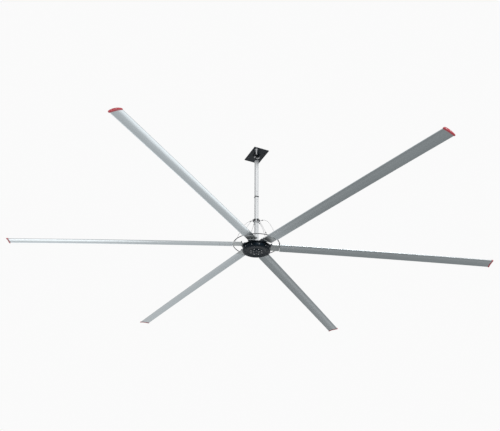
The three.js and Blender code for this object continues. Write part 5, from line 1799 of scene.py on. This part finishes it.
for level, body, way in (("upper", "ceiling_mount", OUT), ("lower", "drop_tube", BACK)):
    low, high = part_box(f"{level}_pivot_bolt")
    axis = Vector((0, 0, (low.z + high.z) / 2))
    ear = way * Vector(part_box(f"{level}_pivot_nut")[0]).dot(way)
    stand(f"{level}_pivot", f"{level}_pivot_bolt", body, "zinc_steel",
          bolt_shape(PIVOT_DIAMETER, 2 * ear.length + PIVOT_BEYOND, PIVOT_THREAD), axis - ear, -way)
    stand(f"{level}_slotted_nut", f"{level}_pivot_nut", body, "zinc_steel",
          slotted_nut_shape(PIVOT_DIAMETER), axis + ear, way)
    print(level, "pivot bolt carried", [round(x, 4) for x in (*low, *high)])

# %% [markdown]
# Four bolts hold the upper clevis to the ceiling plate from below. They repeat in mirrored pairs
# and not round an axis, so their four seats are listed in full and the tree repeats them once.
# %% Clevis bolts
CLEVIS_UNDER = upper.z - CLEVIS_PLATE
CLEVIS_BOLT = (0.043, 0.027)  # from the middle, along X and along Y
fasten("clevis_base_bolts", "ceiling_mount", "dark_steel", hexagon_m10,
       [((x * CLEVIS_BOLT[0], y * CLEVIS_BOLT[1], CLEVIS_UNDER), DOWN)
        for x in (-1, 1) for y in (-1, 1)])

# %% [markdown]
# The floor lies far below, as in a hall. A square sheet would show its edges in the blades' bright
# undersides, so it is a pale oval that fades out at its rim into the white surroundings. It doesn't
# show from below either, so that the fan can be looked at from under it. The blades' undersides
# reflect it: a darker patch straight below, and white towards the horizon.
# %% Floor
FLOOR_HEIGHT = -7.8
FLOOR_MIDDLE = (4.2, 2.7)
FLOOR_HEADING = math.radians(48)
FLOOR_HALF = (16.5, 5.4)
FADE_FROM = 0.77  # the share of the way out at which the floor starts to fade


def floor_finish():
    """Pale grained concrete, clear at its rim and from below."""
    finish = Finish("pale floor", (0.55, 0.55, 0.542), 0.8, 0.0)
    grain = finish.effect(GRAIN, Cloud_Scale=0.35, Speckle_Scale=40.0, Contrast=0.06)
    finish.tone(grain.outputs["Tone"])
    centred = add(finish.tree, "ShaderNodeMapping", {
        "Vector": finish.place,
        "Location": (*FLOOR_MIDDLE, FLOOR_HEIGHT),
        "Rotation": (0, 0, FLOOR_HEADING),
        "Scale": (*FLOOR_HALF, 1.0),
    }, vector_type="TEXTURE")
    reach = add(finish.tree, "ShaderNodeVectorMath", {0: centred.outputs[0]}, operation="LENGTH")
    fade = add(finish.tree, "ShaderNodeMapRange", {
        "Value": reach.outputs["Value"], "From Min": FADE_FROM, "From Max": 1.0, "To Min": 1.0,
        "To Max": 0.0}, interpolation_type="SMOOTHSTEP")
    below = add(finish.tree, "ShaderNodeNewGeometry").outputs["Backfacing"]
    shown = reckoned(finish.tree, "SUBTRACT", 1.0, below)
    alpha = reckoned(finish.tree, "MULTIPLY", fade.outputs[0], shown)
    feed(finish.tree, finish.shader.inputs["Alpha"], alpha)
    return finish.material


laid = Matrix.Translation((*FLOOR_MIDDLE, FLOOR_HEIGHT)) @ faced(FLOOR_HEADING)
rim = [laid @ Vector((FLOOR_HALF[0] * math.cos(angle), FLOOR_HALF[1] * math.sin(angle), 0))
       for angle in around(128)]
sheet = bpy.data.meshes.new("hall floor")
sheet.from_pydata([tuple(point) for point in rim], [], [tuple(range(len(rim)))])
sheet.materials.append(floor_finish())
floor = bpy.data.objects.new("hall_floor", sheet)
bpy.context.scene.collection.objects.link(floor)
floor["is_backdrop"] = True
print("floor at", FLOOR_HEIGHT, "m")

# %% [markdown]
# Studio lamps near the fan would make each blade differ, and a picture as surroundings isn't part
# of the model. So the world is plain: white to the camera and to reflections, and softer as light
# on the fan. One wide sun from behind the camera shapes the tube, and a weak low one opposite gives
# the blades their long bright edges.
# %% World and lamps


def build_world():
    """A plain world: one brightness for what is seen or reflected, another for what is lit."""
    world = bpy.data.worlds.new("white surroundings")
    bpy.context.scene.world = world
    world.use_nodes = True
    tree = world.node_tree
    tree.nodes.clear()
    ray = add(tree, "ShaderNodeLightPath")
    seen = reckoned(tree, "MAXIMUM", ray.outputs["Is Camera Ray"], ray.outputs["Is Glossy Ray"])
    shown = reckoned(tree, "MAXIMUM", seen, ray.outputs["Is Transmission Ray"])
    plain = add(tree, "ShaderNodeBackground", {"Color": (0.97, 0.985, 1, 1), "Strength": 0.36})
    white = add(tree, "ShaderNodeBackground", {"Color": (1, 1, 1, 1), "Strength": 0.96})
    mixed = add(tree, "ShaderNodeMixShader", {
        0: shown, 1: plain.outputs[0], 2: white.outputs[0]})
    add(tree, "ShaderNodeOutputWorld", {"Surface": mixed.outputs[0]})


def lamp(name, kind, strength, heading, elevation, distance=12.0, **settings):
    """A lamp that looks at the fan from a heading and an elevation, in degrees."""
    data = bpy.data.lights.new(name, kind)
    data.energy = strength
    for key, value in settings.items():
        setattr(data, key, value)
    away = Vector((
        math.cos(math.radians(heading)) * math.cos(math.radians(elevation)),
        math.sin(math.radians(heading)) * math.cos(math.radians(elevation)),
        math.sin(math.radians(elevation)),
    ))
    place = bpy.data.objects.new(name, data)
    place.location = Vector((0, 0, ROOT)) + distance * away
    place.rotation_euler = away.to_track_quat("Z", "Y").to_euler()
    bpy.context.scene.collection.objects.link(place)


build_world()
lamp("soft key", "SUN", 2.3, -95, 50, angle=math.radians(25))
lamp("low glow", "SUN", 0.14, 84, -10, angle=math.radians(21))
bpy.context.scene.view_settings.view_transform = "Standard"
print("world and lamps ready")

# %% [markdown]
# The last step measures the finished model's box, because finer pieces must not make the fan grow past the
# construction model's. They should agree to a few millimetres.
# %% Size
low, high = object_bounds()
